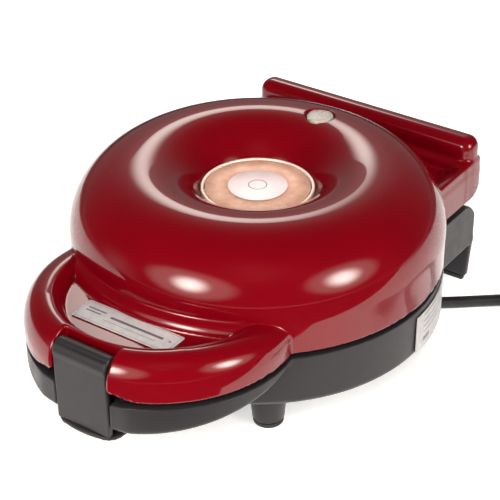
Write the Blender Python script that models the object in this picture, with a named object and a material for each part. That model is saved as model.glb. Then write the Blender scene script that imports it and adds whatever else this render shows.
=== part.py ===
"""Donut maker: a round two-plate waffle-type baker with a hinged lid, a front latch and a mains lead.

Lengths in this file are millimetres; MM turns them into Blender's metres as each mesh is made.
+Z is up, +Y points from the latch to the hinge, and z = 0 is the table that the feet stand on.
The x, y origin is the middle of the appliance's own outline, leads and plug left out.
"""

import math

import bmesh
import bpy
from mathutils import Matrix, Vector

MM = 0.001
GAP = 0.3
OVERRUN = 1.0

# Plan outline: a round body, a smaller round lobe in front of it and a square block behind it.
PLATE_Y = 18.0
BODY_R = 104.0
LOBE_Y = PLATE_Y - 86.25
LOBE_R = 73.0
LOBE_TURN = 14.0
DECK_TURN = -30.0
DECK_BACK = (48.0, LOBE_Y + 7.0)
WING_HALF = 73.8
REAR_Y = PLATE_Y + 123.25
WALL = 2.6
BASE_R = BODY_R - 0.8
NECK_Y = PLATE_Y + 40.0

# Heights of the base.
FOOT_PAD = 3.0
FRONT_FOOT = (49.5, PLATE_Y - 62.8)
BASE_BOTTOM = 25.2
BASE_TOP = 56.4
LOBE_LOW_FRONT = 36.6
LOBE_LOW_BACK = 47.5
REAR_WALL_Y = PLATE_Y + 121.9
CHAMFER_Y = PLATE_Y + 109.0
CHAMFER_LOW = 45.5
LEG_T = 4.8

# Heights of the lid.
LID_EDGE = 60.0
CREST_R = 64.0
CREST_Z = 115.8
SHOULDER_Z = 77.4
DIMPLE_R = 34.2
DIMPLE_Z = 99.5
OUTER_POWER = 1.9
INNER_POWER = 1.6
LID_WALL = 2.7

# Badge, lamp and label.
BADGE_POCKET_R = 32.8
BADGE_POCKET_Z = 97.0
BADGE_RING_R = 32.4
BADGE_DISC_R = 29.8
BADGE_CENTRE_R = 16.4
LAMP_Y = PLATE_Y + 63.0
LAMP_R = 7.6
LABEL_SIZE = (61.0, 16.0, 0.5)
LABEL_Y = PLATE_Y - 116.6

# Front lobe of the lid: a flat floor inside a raised rim.
LOBE_FLOOR_Z = 72.5
LOBE_FLOOR_R = 49.5
RIM_R = 60.0
RIM_Z = 82.4
RIM_DROP = 0.14
RIM_EDGE_Z = 65.0

# Rear wing of the lid: a flat floor, two side rims and a raised bar.
WING_FLOOR_Z = 79.8
SIDE_RIM_Z = 84.5
SIDE_RIM_W = 9.3
BAR_Z = 99.0
BAR_BACK_Y = REAR_Y - 2.2
BAR_FRONT_Y = PLATE_Y + 109.0
BAR_FOOT_Y = PLATE_Y + 104.5
UNDERCUT_Y = PLATE_Y + 107.0
UNDERCUT_RISE = 11.4

# Hinge and latch.
HINGE_Y = PLATE_Y + 115.0
HINGE_Z = 57.0
KNUCKLE_R = 4.8
HINGE_PIN_R = 2.0
BORE_PLAY = 0.35
BASE_KNUCKLES = ((36.0, 43.0), (51.4, 58.4))
LID_KNUCKLE = (43.7, 50.7)
BAY_HALF = 61.5
NOTCH_HALF = 18.2
LATCH_Y = PLATE_Y - 149.9
LATCH_Z = 73.8
LATCH_HALF = 16.75
LATCH_BARREL_R = 6.0
LATCH_THICK = 3.2
LATCH_LOW_Z = 33.4
LATCH_PIN_R = 1.3
LATCH_PIN_HALF = NOTCH_HALF + 3.0
NOTCH_BACK_Y = PLATE_Y - 143.2
RECESS_BACK_Y = PLATE_Y - 148.5
RECESS_WALL_Y = PLATE_Y - 145.5

# Baking plates.
PLATE_FLANGE_R = 97.0
PLATE_BODY_R = 90.4
PLATE_FLANGE = 2.5
PLATE_FACE_LOW = 57.8
PLATE_FACE_HIGH = 58.2
PLATE_DEPTH = 15.2
RING_PITCH_R = 60.0
RING_MID_R = 17.5
RING_HALF_W = 10.5
RING_DEPTH = 12.5
OUTER_RINGS = 6
DECK_T = 2.5

# Mains lead.
CORD_R = 3.5
COIL_CENTRE = (163.6, 118.7)
COIL_INNER_R = 31.0
COIL_OUTER_R = 46.2
COIL_H = 14.8
ROUTE_LEAD = [
    (40.8, 73.6, 10.2),
    (46.8, 78.4, 9.0),
    (53.2, 83.4, 7.4),
    (60.2, 89.0, 5.8),
    (67.4, 94.9, 4.5),
    (75.0, 101.2, 3.8),
    (82.8, 107.6, 3.6),
    (90.6, 114.0, 3.6),
    (98.6, 120.5, 3.6),
    (107.8, 128.0, 3.6),
    (117.0, 135.4, 3.6),
]
ROUTE_TAIL = [
    (205.9, 92.9, 10.9),
    (205.7, 86.7, 10.7),
    (205.2, 79.7, 10.3),
    (204.6, 73.1, 10.0),
]
RELIEF_START = (17.1, 54.6, 15.3)
RELIEF_LENGTH = 30.0
RELIEF_DIP = 0.165
LEAD_TURN = math.atan2(4, 5)
PLUG_X = 204.6
PLUG_NOSE_Y = 24.7

PAINT = {
    "red_gloss": ((0.30, 0.004, 0.008), 0.12, 0.0),
    "dark_satin": ((0.045, 0.043, 0.046), 0.38, 0.0),
    "black_plastic": ((0.012, 0.012, 0.012), 0.5, 0.0),
    "nonstick": ((0.03, 0.03, 0.032), 0.42, 0.3),
    "steel": ((0.55, 0.55, 0.56), 0.32, 1.0),
    "rubber": ((0.015, 0.015, 0.015), 0.8, 0.0),
    "copper_disc": ((0.78, 0.50, 0.36), 0.3, 0.8),
    "pink_print": ((0.95, 0.72, 0.74), 0.4, 0.0),
    "silver_ring": ((0.80, 0.74, 0.68), 0.25, 1.0),
    "lamp_white": ((0.82, 0.78, 0.72), 0.3, 0.0),
    "label_silver": ((0.70, 0.70, 0.72), 0.35, 0.6),
    "cord_black": ((0.012, 0.012, 0.013), 0.45, 0.0),
    "porcelain": ((0.85, 0.83, 0.78), 0.5, 0.0),
    "brass": ((0.76, 0.58, 0.28), 0.3, 1.0),
}


def clear_scene():
    for obj in list(bpy.data.objects):
        bpy.data.objects.remove(obj, do_unlink=True)


def make_paints():
    for name, (colour, roughness, metallic) in PAINT.items():
        material = bpy.data.materials.new(name)
        material.use_nodes = True
        shader = material.node_tree.nodes["Principled BSDF"]
        shader.inputs["Base Color"].default_value = (*colour, 1.0)
        shader.inputs["Roughness"].default_value = roughness
        shader.inputs["Metallic"].default_value = metallic


def pivot(name, y, z):
    """An empty on a joint's axis, which the moving body's pieces hang from."""
    empty = bpy.data.objects.new(name, None)
    empty.location = (0, y * MM, z * MM)
    bpy.context.scene.collection.objects.link(empty)
    return empty


def mesh_of(points, faces):
    """A bmesh in metres, its faces turned outwards."""
    bm = bmesh.new()
    verts = [bm.verts.new(Vector(p) * MM) for p in points]
    for face in faces:
        bm.faces.new([verts[i] for i in face])
    bmesh.ops.recalc_face_normals(bm, faces=bm.faces)
    return bm


def turned(profile, segments, centre=(0.0, 0.0)):
    """A closed (r, z) profile turned about the vertical through centre; level ends at r = 0 become flat caps."""
    points, rings, faces = [], [], []
    heights = [z for r, z in profile]
    for k, (r, z) in enumerate(profile):
        if r == 0 and z in (heights[k - 1], heights[(k + 1) % len(heights)]):
            rings.append(None)
            continue
        if r == 0:
            rings.append([len(points)] * segments)
            points.append((centre[0], centre[1], z))
            continue
        rings.append(list(range(len(points), len(points) + segments)))
        for s in range(segments):
            a = math.tau * s / segments
            points.append((centre[0] + r * math.cos(a), centre[1] + r * math.sin(a), z))
    for ring, after in zip(rings, rings[1:] + rings[:1]):
        if ring is None or after is None:
            cap = ring or after
            if cap and cap[0] != cap[1]:
                faces.append(cap)
            continue
        for k in range(segments):
            n = (k + 1) % segments
            face = list(dict.fromkeys([ring[k], ring[n], after[n], after[k]]))
            if len(face) > 2:
                faces.append(face)
    return mesh_of(points, faces)


def prism(outline, low, high):
    """An (x, y) outline between two heights, each a number or a function of y."""
    low_at = low if callable(low) else lambda y: low
    high_at = high if callable(high) else lambda y: high
    n = len(outline)
    points = [(x, y, low_at(y)) for x, y in outline] + [(x, y, high_at(y)) for x, y in outline]
    faces = [list(range(n)), list(range(n, 2 * n))]
    faces += [[k, (k + 1) % n, n + (k + 1) % n, n + k] for k in range(n)]
    return mesh_of(points, faces)


def along_x(profile, x0, x1):
    """A (y, z) outline drawn out from x0 to x1."""
    n = len(profile)
    points = [(x0, y, z) for y, z in profile] + [(x1, y, z) for y, z in profile]
    faces = [list(range(n)), list(range(n, 2 * n))]
    faces += [[k, (k + 1) % n, n + (k + 1) % n, n + k] for k in range(n)]
    return mesh_of(points, faces)


def box(x0, x1, y0, y1, z0, z1):
    return along_x([(y0, z0), (y1, z0), (y1, z1), (y0, z1)], x0, x1)


def arc(centre, radius, start, end, steps):
    """Points on an arc between two angles in degrees, both ends included."""
    turns = [math.radians(start + (end - start) * k / steps) for k in range(steps + 1)]
    return [(centre[0] + radius * math.cos(a), centre[1] + radius * math.sin(a)) for a in turns]


def place(name, bm, paint, body=None, location=(0, 0, 0), rotation=(0, 0, 0), sharp=32):
    """Makes the bmesh an object on its body, shaded smooth except across its sharp edges."""
    mesh = bpy.data.meshes.new(name)
    bm.to_mesh(mesh)
    bm.free()
    mesh.shade_smooth()
    mesh.set_sharp_from_angle(angle=math.radians(sharp))
    obj = bpy.data.objects.new(name, mesh)
    bpy.context.scene.collection.objects.link(obj)
    obj.location = Vector(location) * MM
    obj.rotation_euler = rotation
    if paint:
        mesh.materials.append(bpy.data.materials[paint])
    if body:
        obj.parent = body
        obj.location -= body.location
    return obj


def combine(obj, bm, operation="DIFFERENCE"):
    """Cuts a shape from an object, or unites it with the object, by an exact Boolean."""
    tool = place(f"{obj.name}_tool_{len(obj.modifiers)}", bm, None)
    tool.hide_render = True
    tool.display_type = "WIRE"
    step = obj.modifiers.new(operation.title(), "BOOLEAN")
    step.operation = operation
    step.object = tool


def tube(name, route, radius, paint, resolution=2, spacing=2.2, body=None):
    """A round tube along a smooth curve through the route's points, with filled ends."""
    knots = [Vector(p) for p in route]
    line = [knots[0]]
    for k in range(len(knots) - 1):
        before, after = knots[max(k - 1, 0)], knots[min(k + 2, len(knots) - 1)]
        a, b = knots[k], knots[k + 1]
        steps = max(1, round((b - a).length / (spacing * 2 * radius)))
        for s in range(1, steps + 1):
            t = s / steps
            ease_a, ease_b = (b - before) / 2, (after - a) / 2
            line.append(
                a * (2 * t**3 - 3 * t**2 + 1)
                + ease_a * (t**3 - 2 * t**2 + t)
                + b * (3 * t**2 - 2 * t**3)
                + ease_b * (t**3 - t**2)
            )
    curve = bpy.data.curves.new(name, "CURVE")
    curve.dimensions = "3D"
    curve.bevel_depth = radius * MM
    curve.bevel_resolution = resolution
    curve.use_fill_caps = True
    spline = curve.splines.new("POLY")
    spline.points.add(len(line) - 1)
    for point, co in zip(spline.points, line):
        point.co = (*(co * MM), 1.0)
    curve.materials.append(bpy.data.materials[paint])
    obj = bpy.data.objects.new(name, curve)
    bpy.context.scene.collection.objects.link(obj)
    if body:
        obj.parent = body
        obj.location -= body.location
    return obj


def lobe_outline(radius, flat_y, half, turn=LOBE_TURN, back=(), steps=16):
    """The lobe's arc up to an angle, on to a back corner, with a square bite for the latch."""
    side = math.degrees(math.asin(half / radius))
    right = arc((0, LOBE_Y), radius, -90 + side, turn, steps) + list(back)
    left = [(-x, y) for x, y in reversed(right)]
    return right + left + [(-half, flat_y), (half, flat_y)]


def superellipse(power, steps):
    """Unit (across, up) pairs from the top, (0, 1), round to the side, (1, 0)."""
    turns = [math.pi / 2 * k / steps for k in range(steps + 1)]
    return [(math.sin(t) ** (2 / power), max(math.cos(t), 0.0) ** (2 / power)) for t in turns]


def dome_profile(steps):
    """The lid's round body from the badge pocket over the crest to the lower edge, as (r, z)."""
    inner = [
        (CREST_R - (CREST_R - DIMPLE_R) * a, DIMPLE_Z + (CREST_Z - DIMPLE_Z) * b)
        for a, b in superellipse(INNER_POWER, steps)
    ]
    outer = [
        (CREST_R + (BODY_R - CREST_R) * a, SHOULDER_Z + (CREST_Z - SHOULDER_Z) * b)
        for a, b in superellipse(OUTER_POWER, steps)
    ]
    pocket = [(0, BADGE_POCKET_Z), (BADGE_POCKET_R, BADGE_POCKET_Z), (BADGE_POCKET_R, DIMPLE_Z - 0.4)]
    return pocket + inner[::-1] + outer[1:] + [(BODY_R, LID_EDGE - OVERRUN), (0, LID_EDGE - OVERRUN)]


def dome_hollow(steps):
    """The room inside the round body: the same curves, one wall further in."""
    top, under_crest = BADGE_POCKET_Z - LID_WALL, CREST_Z - LID_WALL
    inner = [
        (CREST_R - (CREST_R - DIMPLE_R - 1.5) * a, top + (under_crest - top) * b)
        for a, b in superellipse(INNER_POWER, steps)
    ]
    outer = [
        (CREST_R + (BODY_R - LID_WALL - CREST_R) * a, SHOULDER_Z + (CREST_Z - SHOULDER_Z - LID_WALL) * b)
        for a, b in superellipse(OUTER_POWER, steps)
    ]
    return [(0, top)] + inner[::-1] + outer[1:] + [
        (BODY_R - LID_WALL, LID_EDGE - 1),
        (0, LID_EDGE - 1),
    ]


def lobe_profile(steps):
    """The front lobe from its flat floor over the rim to the lower edge, as (r, z)."""
    rise, reach = RIM_Z - LOBE_FLOOR_Z, RIM_R - LOBE_FLOOR_R
    climb = [
        (LOBE_FLOOR_R + reach * k / steps, LOBE_FLOOR_Z + rise * (0.5 - 0.5 * math.cos(math.pi * k / steps)))
        for k in range(steps + 1)
    ]
    fall = [
        (RIM_R + (LOBE_R - RIM_R) * a, RIM_EDGE_Z + (RIM_Z - RIM_EDGE_Z) * b)
        for a, b in superellipse(2.0, steps)
    ]
    low = LID_EDGE - 1.5 * OVERRUN
    return [(0, LOBE_FLOOR_Z)] + climb + fall[1:] + [(LOBE_R, low), (0, low)]


def lower_rim_towards_body(bm):
    """The lobe's rim falls gently from the front towards the round body."""
    for v in bm.verts:
        over = v.co.z / MM - LOBE_FLOOR_Z
        if over > 0:
            back = max(0.0, (v.co.y / MM - LOBE_Y) / LOBE_R + 0.55)
            v.co.z -= min(over, over * RIM_DROP * 4 * back) * MM


def ease(t):
    t = min(max(t, 0.0), 1.0)
    return t * t * (3 - 2 * t)


def wing_top(x, y):
    """Height of the rear wing's upper face: floor, side rims and bar, rounded off at its outer edges."""
    side = abs(x)
    rim = SIDE_RIM_Z + (BAR_Z - 3 - SIDE_RIM_Z) * ease((y - BAR_FOOT_Y + 4) / (BAR_FRONT_Y - BAR_FOOT_Y + 8))
    inner = WING_HALF - SIDE_RIM_W
    height = WING_FLOOR_Z + (rim - WING_FLOOR_Z) * ease((side - inner + 3) / 5)
    bar = WING_FLOOR_Z + (BAR_Z - WING_FLOOR_Z) * ease((y - BAR_FOOT_Y) / (BAR_FRONT_Y - BAR_FOOT_Y + 3))
    height = max(height, bar)
    for depth, reach in ((WING_HALF - side, 5.0), (REAR_Y - 1.6 - y, 5.0)):
        if depth < reach:
            height -= reach - math.sqrt(max(reach**2 - (reach - depth) ** 2, 0.0))
    return height


def wing_bottom(y):
    """Height of the rear wing's lower face, which curves up at the rear so that the lid can tip back."""
    t = (y - UNDERCUT_Y) / (REAR_Y - UNDERCUT_Y)
    return LID_EDGE + (UNDERCUT_RISE * (1 - math.sqrt(max(1 - t * t, 0.0))) if t > 0 else -2 * OVERRUN)


def rear_wing():
    """The wing as a slab between its upper and lower faces, on one grid."""
    inner = WING_HALF - SIDE_RIM_W
    half = [0, inner - 3, inner - 0.5, inner + 2, WING_HALF - 3.4, WING_HALF - 1.2, WING_HALF]
    xs = [-x for x in half[:0:-1]] + half
    foot = BAR_FOOT_Y
    ys = [NECK_Y, PLATE_Y + 80, foot - 4, foot, foot + 3.5, foot + 7]
    ys += [BAR_BACK_Y - 5, BAR_BACK_Y - 2, REAR_Y - 1.6]
    ys += [REAR_Y]
    points, faces = [], []
    for level in (0, 1):
        for y in ys:
            for x in xs:
                top = wing_top(x, min(y, REAR_Y - 1.6))
                back = UNDERCUT_RISE + LID_EDGE
                if y == REAR_Y:
                    points.append((x, y, back + 4 if level else back))
                else:
                    points.append((x, y, top if level else wing_bottom(y)))
    across, size = len(xs), len(xs) * len(ys)
    for level in (0, size):
        for j in range(len(ys) - 1):
            for i in range(across - 1):
                a = level + j * across + i
                faces.append([a, a + 1, a + across + 1, a + across])
    for j in range(len(ys) - 1):
        for i in (0, across - 1):
            a = j * across + i
            faces.append([a, a + across, a + across + size, a + size])
    for i in range(across - 1):
        for j in (0, len(ys) - 1):
            a = j * across + i
            faces.append([a, a + 1, a + 1 + size, a + size])
    return mesh_of(points, faces)


def rod(x0, x1, y, z, radius, sides=16):
    """A round bar lying along X."""
    return along_x(arc((y, z), radius, 0, 360 - 360 / sides, sides - 1), x0, x1)


def knuckle(x0, x1, root_z, reach):
    """A hinge lug: a plate with a round end on the hinge's axis, drawn out to root_z above or below it."""
    up = root_z > HINGE_Z
    start = 180 if up else 0
    tip = arc((HINGE_Y, HINGE_Z), KNUCKLE_R, start, start + 180, 10)
    root = [(HINGE_Y + reach, root_z), (HINGE_Y - reach, root_z)] if up else [
        (HINGE_Y - reach, root_z),
        (HINGE_Y + reach, root_z),
    ]
    return along_x(tip + root, x0, x1)


def both_sides(x0, x1):
    return ((x0, x1), (-x1, -x0))


def lid_shell(lid):
    shell = place("lid_shell", turned(dome_profile(7), 56, (0, PLATE_Y)), "red_gloss", lid)
    lobe = turned(lobe_profile(5), 48, (0, LOBE_Y))
    lower_rim_towards_body(lobe)
    combine(shell, lobe, "UNION")
    combine(shell, rear_wing(), "UNION")
    combine(shell, box(-BODY_R - 5, BODY_R + 5, -150, 150, LID_EDGE - 9, LID_EDGE))
    combine(shell, turned(dome_hollow(6), 56, (0, PLATE_Y)))
    hollow = lobe_outline(LOBE_R - LID_WALL, NOTCH_BACK_Y + LID_WALL, NOTCH_HALF + LID_WALL)
    combine(shell, prism(hollow, LID_EDGE - 1, LOBE_FLOOR_Z - LID_WALL))
    combine(shell, box(-NOTCH_HALF, NOTCH_HALF, LOBE_Y - LOBE_R - 2, NOTCH_BACK_Y, LID_EDGE - 1, RIM_Z + 4))
    bay = (-BAY_HALF, BAY_HALF, BAR_FOOT_Y, REAR_Y - LID_WALL, LID_EDGE - 1, WING_FLOOR_Z - LID_WALL)
    combine(shell, box(*bay))
    for x0, x1 in both_sides(*LID_KNUCKLE):
        combine(shell, knuckle(x0, x1, WING_FLOOR_Z - 1, KNUCKLE_R), "UNION")
        combine(shell, rod(x0 - 1, x1 + 1, HINGE_Y, HINGE_Z, HINGE_PIN_R + BORE_PLAY))
    bore = LATCH_PIN_HALF + GAP
    combine(shell, rod(-bore, bore, LATCH_Y, LATCH_Z, LATCH_PIN_R + BORE_PLAY, 12))
    well = [(0, CREST_Z - 8), (LAMP_R + 0.6, CREST_Z - 8), (LAMP_R + 0.6, CREST_Z + 2), (0, CREST_Z + 2)]
    combine(shell, turned(well, 24, (0, LAMP_Y)))


def ring_plate(name, paint, body, z0, outer_r, lobe):
    """A flat plate that closes the housing around a baking plate: a round ring with the lobe joined on."""
    z1 = z0 + DECK_T
    deck = place(name, prism(arc((0, PLATE_Y), outer_r, 0, 354, 59), z0, z1), paint, body)
    combine(deck, prism(lobe, z0 - OVERRUN, z1 + OVERRUN), "UNION")
    combine(deck, box(-BODY_R, BODY_R, LOBE_Y - LOBE_R, 150, z0 - 2 * OVERRUN, z0))
    combine(deck, box(-BODY_R, BODY_R, LOBE_Y - LOBE_R, 150, z1, z1 + 2 * OVERRUN))
    hole = prism(arc((0, PLATE_Y), PLATE_BODY_R + 0.8, 0, 352.5, 47), z0 - 1, z1 + 1)
    combine(deck, hole)
    return deck


def trough(z_open, depth_sign):
    """One donut ring's room: a turned bowl around a post, open past the plate's face."""
    beyond = z_open - depth_sign * 3
    inner, outer = RING_MID_R - RING_HALF_W, RING_MID_R + RING_HALF_W
    bowl = []
    for k in range(7):
        a = math.pi * k / 6
        bowl.append((RING_MID_R + RING_HALF_W * math.cos(a), z_open + depth_sign * RING_DEPTH * math.sin(a)))
    return [(inner, beyond), (outer, beyond)] + bowl


def baking_plate(name, body, face_z, depth_sign):
    """A cast plate with a flange and seven ring-shaped hollows: one in the middle, six around it."""
    back = face_z + depth_sign * PLATE_DEPTH
    flange = face_z + depth_sign * PLATE_FLANGE
    profile = [(0, face_z), (PLATE_FLANGE_R, face_z), (PLATE_FLANGE_R, flange)]
    profile += [(PLATE_BODY_R, flange), (PLATE_BODY_R, back), (0, back)]
    plate = place(name, turned(profile, 48, (0, PLATE_Y)), "nonstick", body)
    centres = [(0.0, PLATE_Y)] + [
        (
            RING_PITCH_R * math.cos(math.tau * k / OUTER_RINGS),
            PLATE_Y + RING_PITCH_R * math.sin(math.tau * k / OUTER_RINGS),
        )
        for k in range(OUTER_RINGS)
    ]
    rings = bmesh.new()
    for centre in centres:
        ring = turned(trough(face_z, depth_sign), 20, centre)
        copy = bpy.data.meshes.new("ring")
        ring.to_mesh(copy)
        ring.free()
        rings.from_mesh(copy)
        bpy.data.meshes.remove(copy)
    combine(plate, rings)


def heating_element(name, body, z):
    """A bent tube heater: most of a circle, with both cold ends turned out to the rear."""
    loop = arc((0, PLATE_Y), 62.0, 100, 440, 30)
    route = [(-16.0, PLATE_Y + 78.0, z)] + [(x, y, z) for x, y in loop] + [(16.0, PLATE_Y + 78.0, z)]
    tube(name, route, 3.1, "steel", 2, 4, body)


def heat_shield(name, body, floor_z, rim_z):
    """A thin pressed dish behind the heater that turns its heat towards the plate."""
    step = 0.9 if rim_z > floor_z else -0.9
    profile = [(0, floor_z), (66, floor_z), (76, rim_z), (80, rim_z)]
    back = [(80, rim_z + step), (75.8, rim_z + step), (65.8, floor_z + step), (0, floor_z + step)]
    place(name, turned(profile + back, 36, (0, PLATE_Y)), "steel", body)


def lid_parts(lid):
    lid_shell(lid)
    room = LID_WALL + 1.6 * GAP
    lobe = lobe_outline(LOBE_R - room, NOTCH_BACK_Y + room, NOTCH_HALF + room)
    frame = ring_plate("lid_inner_frame", "black_plastic", lid, LID_EDGE + 1, BODY_R - room, lobe)
    for x in (-42, 42):
        combine(frame, turned([(0, 60), (1.8, 60), (1.8, 65), (0, 65)], 12, (x, PLATE_Y - 108)))
        screw(f"lid_screw_{'left' if x < 0 else 'right'}", lid, (x, PLATE_Y - 108, LID_EDGE + 0.7), 4.0)
    baking_plate("upper_plate", lid, PLATE_FACE_HIGH, 1)
    heating_element("upper_heating_element", lid, PLATE_FACE_HIGH + PLATE_DEPTH + 3.8)
    plate_back = PLATE_FACE_HIGH + PLATE_DEPTH
    heat_shield("upper_heat_shield", lid, plate_back + 10.2, plate_back + 8.6)
    z = BADGE_POCKET_Z + GAP
    ring = [(BADGE_DISC_R + 0.5, z), (BADGE_RING_R, z), (BADGE_RING_R, z + 2.3), (BADGE_DISC_R + 0.9, z + 2.6)]
    place("badge_ring", turned(ring + [(BADGE_DISC_R + 0.5, z + 2.3)], 48, (0, PLATE_Y)), "silver_ring", lid)
    disc = [(0, z), (BADGE_DISC_R, z), (BADGE_DISC_R, z + 1.9), (0, z + 1.9)]
    place("badge_disc", turned(disc, 48, (0, PLATE_Y)), "copper_disc", lid)
    centre = [(0, z + 2.2), (BADGE_CENTRE_R, z + 2.2), (BADGE_CENTRE_R, z + 2.6), (0, z + 2.6)]
    place("badge_centre", turned(centre, 36, (0, PLATE_Y)), "pink_print", lid)
    lens = [(0, CREST_Z - 4), (LAMP_R, CREST_Z - 4), (LAMP_R, CREST_Z - 0.9)]
    lens += [(LAMP_R * 0.8, CREST_Z - 0.2), (0, CREST_Z)]
    place("indicator_lens", turned(lens, 24, (0, LAMP_Y)), "lamp_white", lid)
    bulb = [(0, CREST_Z - 15), (2.6, CREST_Z - 15), (2.6, CREST_Z - 6)]
    bulb += [(1.4, CREST_Z - 4.6), (0, CREST_Z - 4.3)]
    place("indicator_bulb", turned(bulb, 12, (0, LAMP_Y)), "lamp_white", lid)
    x, y, t = (side / 2 for side in LABEL_SIZE)
    plate = box(-x, x, LABEL_Y - y, LABEL_Y + y, LOBE_FLOOR_Z + GAP, LOBE_FLOOR_Z + GAP + 2 * t)
    place("front_label", plate, "label_silver", lid)
    pin = rod(-LATCH_PIN_HALF, LATCH_PIN_HALF, LATCH_Y, LATCH_Z, LATCH_PIN_R, 12)
    place("latch_pin", pin, "steel", lid)


def latch_part(latch):
    """A flat face hanging from a round barrel, with a bead near its foot that snaps past the base's rib."""
    front = LATCH_Y - LATCH_BARREL_R
    slope = 1.3
    barrel = arc((LATCH_Y, LATCH_Z), LATCH_BARREL_R, 180, -60, 12)
    foot = LATCH_LOW_Z
    back = front + LATCH_THICK
    outline = [(front + slope, foot + 1)] + barrel
    outline += [(back + 0.3, LATCH_Z - 7), (back + slope, foot + 6.5), (back + slope + 1.3, foot + 4.8)]
    outline += [(back + slope, foot + 3.1), (back + slope, foot), (front + slope + 1, foot)]
    piece = place("latch", along_x(outline, -LATCH_HALF, LATCH_HALF), "dark_satin", latch)
    combine(piece, rod(-LATCH_HALF - 1, LATCH_HALF + 1, LATCH_Y, LATCH_Z, LATCH_PIN_R + BORE_PLAY))


def lobe_low(y):
    """Height of the base lobe's lower edge, which climbs from the front to the round body."""
    share = (y - (LOBE_Y - LOBE_R)) / (PLATE_Y - 96.7 - (LOBE_Y - LOBE_R))
    return LOBE_LOW_FRONT + (LOBE_LOW_BACK - LOBE_LOW_FRONT) * share


def base_housing():
    low, high = BASE_BOTTOM - OVERRUN, BASE_TOP + OVERRUN
    drum = [(0, low), (BASE_R - 0.8, low), (BASE_R, high), (0, high)]
    base = place("base_housing", turned(drum, 64, (0, PLATE_Y)), "dark_satin")
    lobe = lobe_outline(LOBE_R - 0.4, RECESS_BACK_Y, NOTCH_HALF)
    combine(base, prism(lobe, lobe_low, high + 0.4), "UNION")
    lip = arc((0, LOBE_Y), LOBE_R - 2.4, -106, -74, 10) + [(19.5, LOBE_Y - 56), (-19.5, LOBE_Y - 56)]
    combine(base, prism(lip, LATCH_LOW_Z - 2.2, LATCH_LOW_Z - 0.4), "UNION")
    combine(base, box(-17, 17, RECESS_BACK_Y, LOBE_Y - 58, LATCH_LOW_Z - 1.5, LATCH_LOW_Z + 8), "UNION")
    block = [(PLATE_Y + 20, low - 0.4), (REAR_WALL_Y, low - 0.4), (REAR_WALL_Y, CHAMFER_LOW)]
    block += [(CHAMFER_Y, BASE_TOP), (CHAMFER_Y - 1, high + 0.8), (PLATE_Y + 20, high + 0.8)]
    combine(base, along_x(block, -WING_HALF, WING_HALF), "UNION")
    combine(base, box(-BODY_R - 5, BODY_R + 5, -150, 150, BASE_TOP, BASE_TOP + 9))
    combine(base, box(-BODY_R - 5, BODY_R + 5, -150, 150, BASE_BOTTOM - 9, BASE_BOTTOM))
    hollow_base(base)
    for x0, x1 in both_sides(BAY_HALF - 8, WING_HALF - 2):
        leg = [(REAR_WALL_Y - LEG_T - 0.8, BASE_BOTTOM + 1), (REAR_WALL_Y - LEG_T, FOOT_PAD + GAP)]
        leg += [(REAR_WALL_Y - 0.5, FOOT_PAD + GAP), (REAR_WALL_Y - 0.5, BASE_BOTTOM + 1)]
        combine(base, along_x(leg, x0, x1), "UNION")
    for side in (-1, 1):
        post = [(0, BASE_BOTTOM + 1), (10.5, BASE_BOTTOM + 1), (8.6, FOOT_PAD + GAP), (0, FOOT_PAD + GAP)]
        combine(base, turned(post, 20, (FRONT_FOOT[0] * side, FRONT_FOOT[1])), "UNION")
    for x0, x1 in BASE_KNUCKLES:
        for a, b in both_sides(x0, x1):
            combine(base, knuckle(a, b, BASE_BOTTOM + 1, KNUCKLE_R), "UNION")
            combine(base, rod(a - 1, b + 1, HINGE_Y, HINGE_Z, HINGE_PIN_R + BORE_PLAY))
    crest = RECESS_BACK_Y - 1.3
    rib = [(RECESS_BACK_Y + 1, 41.0), (crest, 42.6), (crest, 43.6), (RECESS_BACK_Y + 1, 46)]
    combine(base, along_x(rib, -12, 12), "UNION")
    combine(base, turned([(0, 24), (62, 24), (62, 30), (0, 30)], 48, (0, PLATE_Y)))


def hollow_base(base):
    """Takes the inside out of the base, leaving its walls, its floor and an open bay for the hinge."""
    inside = BASE_R - 0.8 - WALL
    tub = [(0, BASE_BOTTOM + WALL), (inside, BASE_BOTTOM + WALL), (inside, BASE_TOP + 1), (0, BASE_TOP + 1)]
    combine(base, turned(tub, 56, (0, PLATE_Y)))
    front = lobe_outline(LOBE_R - WALL - 0.4, RECESS_WALL_Y, NOTCH_HALF + WALL, DECK_TURN, [DECK_BACK])
    combine(base, prism(front, lambda y: lobe_low(y) + WALL, BASE_TOP + 1))
    back = REAR_WALL_Y - WALL
    slope = [(PLATE_Y + 70, BASE_BOTTOM + WALL), (back, BASE_BOTTOM + WALL), (back, CHAMFER_LOW - 1.2)]
    slope += [(CHAMFER_Y - 1.2, BASE_TOP - WALL), (PLATE_Y + 70, BASE_TOP - WALL)]
    combine(base, along_x(slope, -WING_HALF + WALL, WING_HALF - WALL))
    bay = (-BAY_HALF, BAY_HALF, BAR_FOOT_Y, REAR_WALL_Y - WALL, BASE_BOTTOM + WALL, BASE_TOP + 1)
    combine(base, box(*bay))


def screw(name, body, head, length):
    """A pan-head screw, its head down at the given point and its shank going up."""
    r = 1.5
    profile = [(0, 0), (2.6, 0), (2.9, -0.5), (2.9, -1.0), (1.6, -2.0), (0, -2.0)]
    shank = [(0, length), (r, length), (r, 0)]
    place(name, turned(shank + profile[1:], 12), "steel", body, head)


def foot_pads():
    profile = [(0, 0), (7.6, 0), (8.4, 0.8), (8.4, FOOT_PAD), (0, FOOT_PAD)]
    for side, word in ((-1, "left"), (1, "right")):
        spot = (FRONT_FOOT[0] * side, FRONT_FOOT[1], 0)
        place(f"front_foot_pad_{word}", turned(profile, 20), "rubber", None, spot)
        x = side * (BAY_HALF + WING_HALF - 10) / 2
        pad = box(-8.5, 8.5, -2.1, 2.1, 0, FOOT_PAD)
        place(f"rear_foot_pad_{word}", pad, "rubber", None, (x, REAR_WALL_Y - 2.7, 0))


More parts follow.
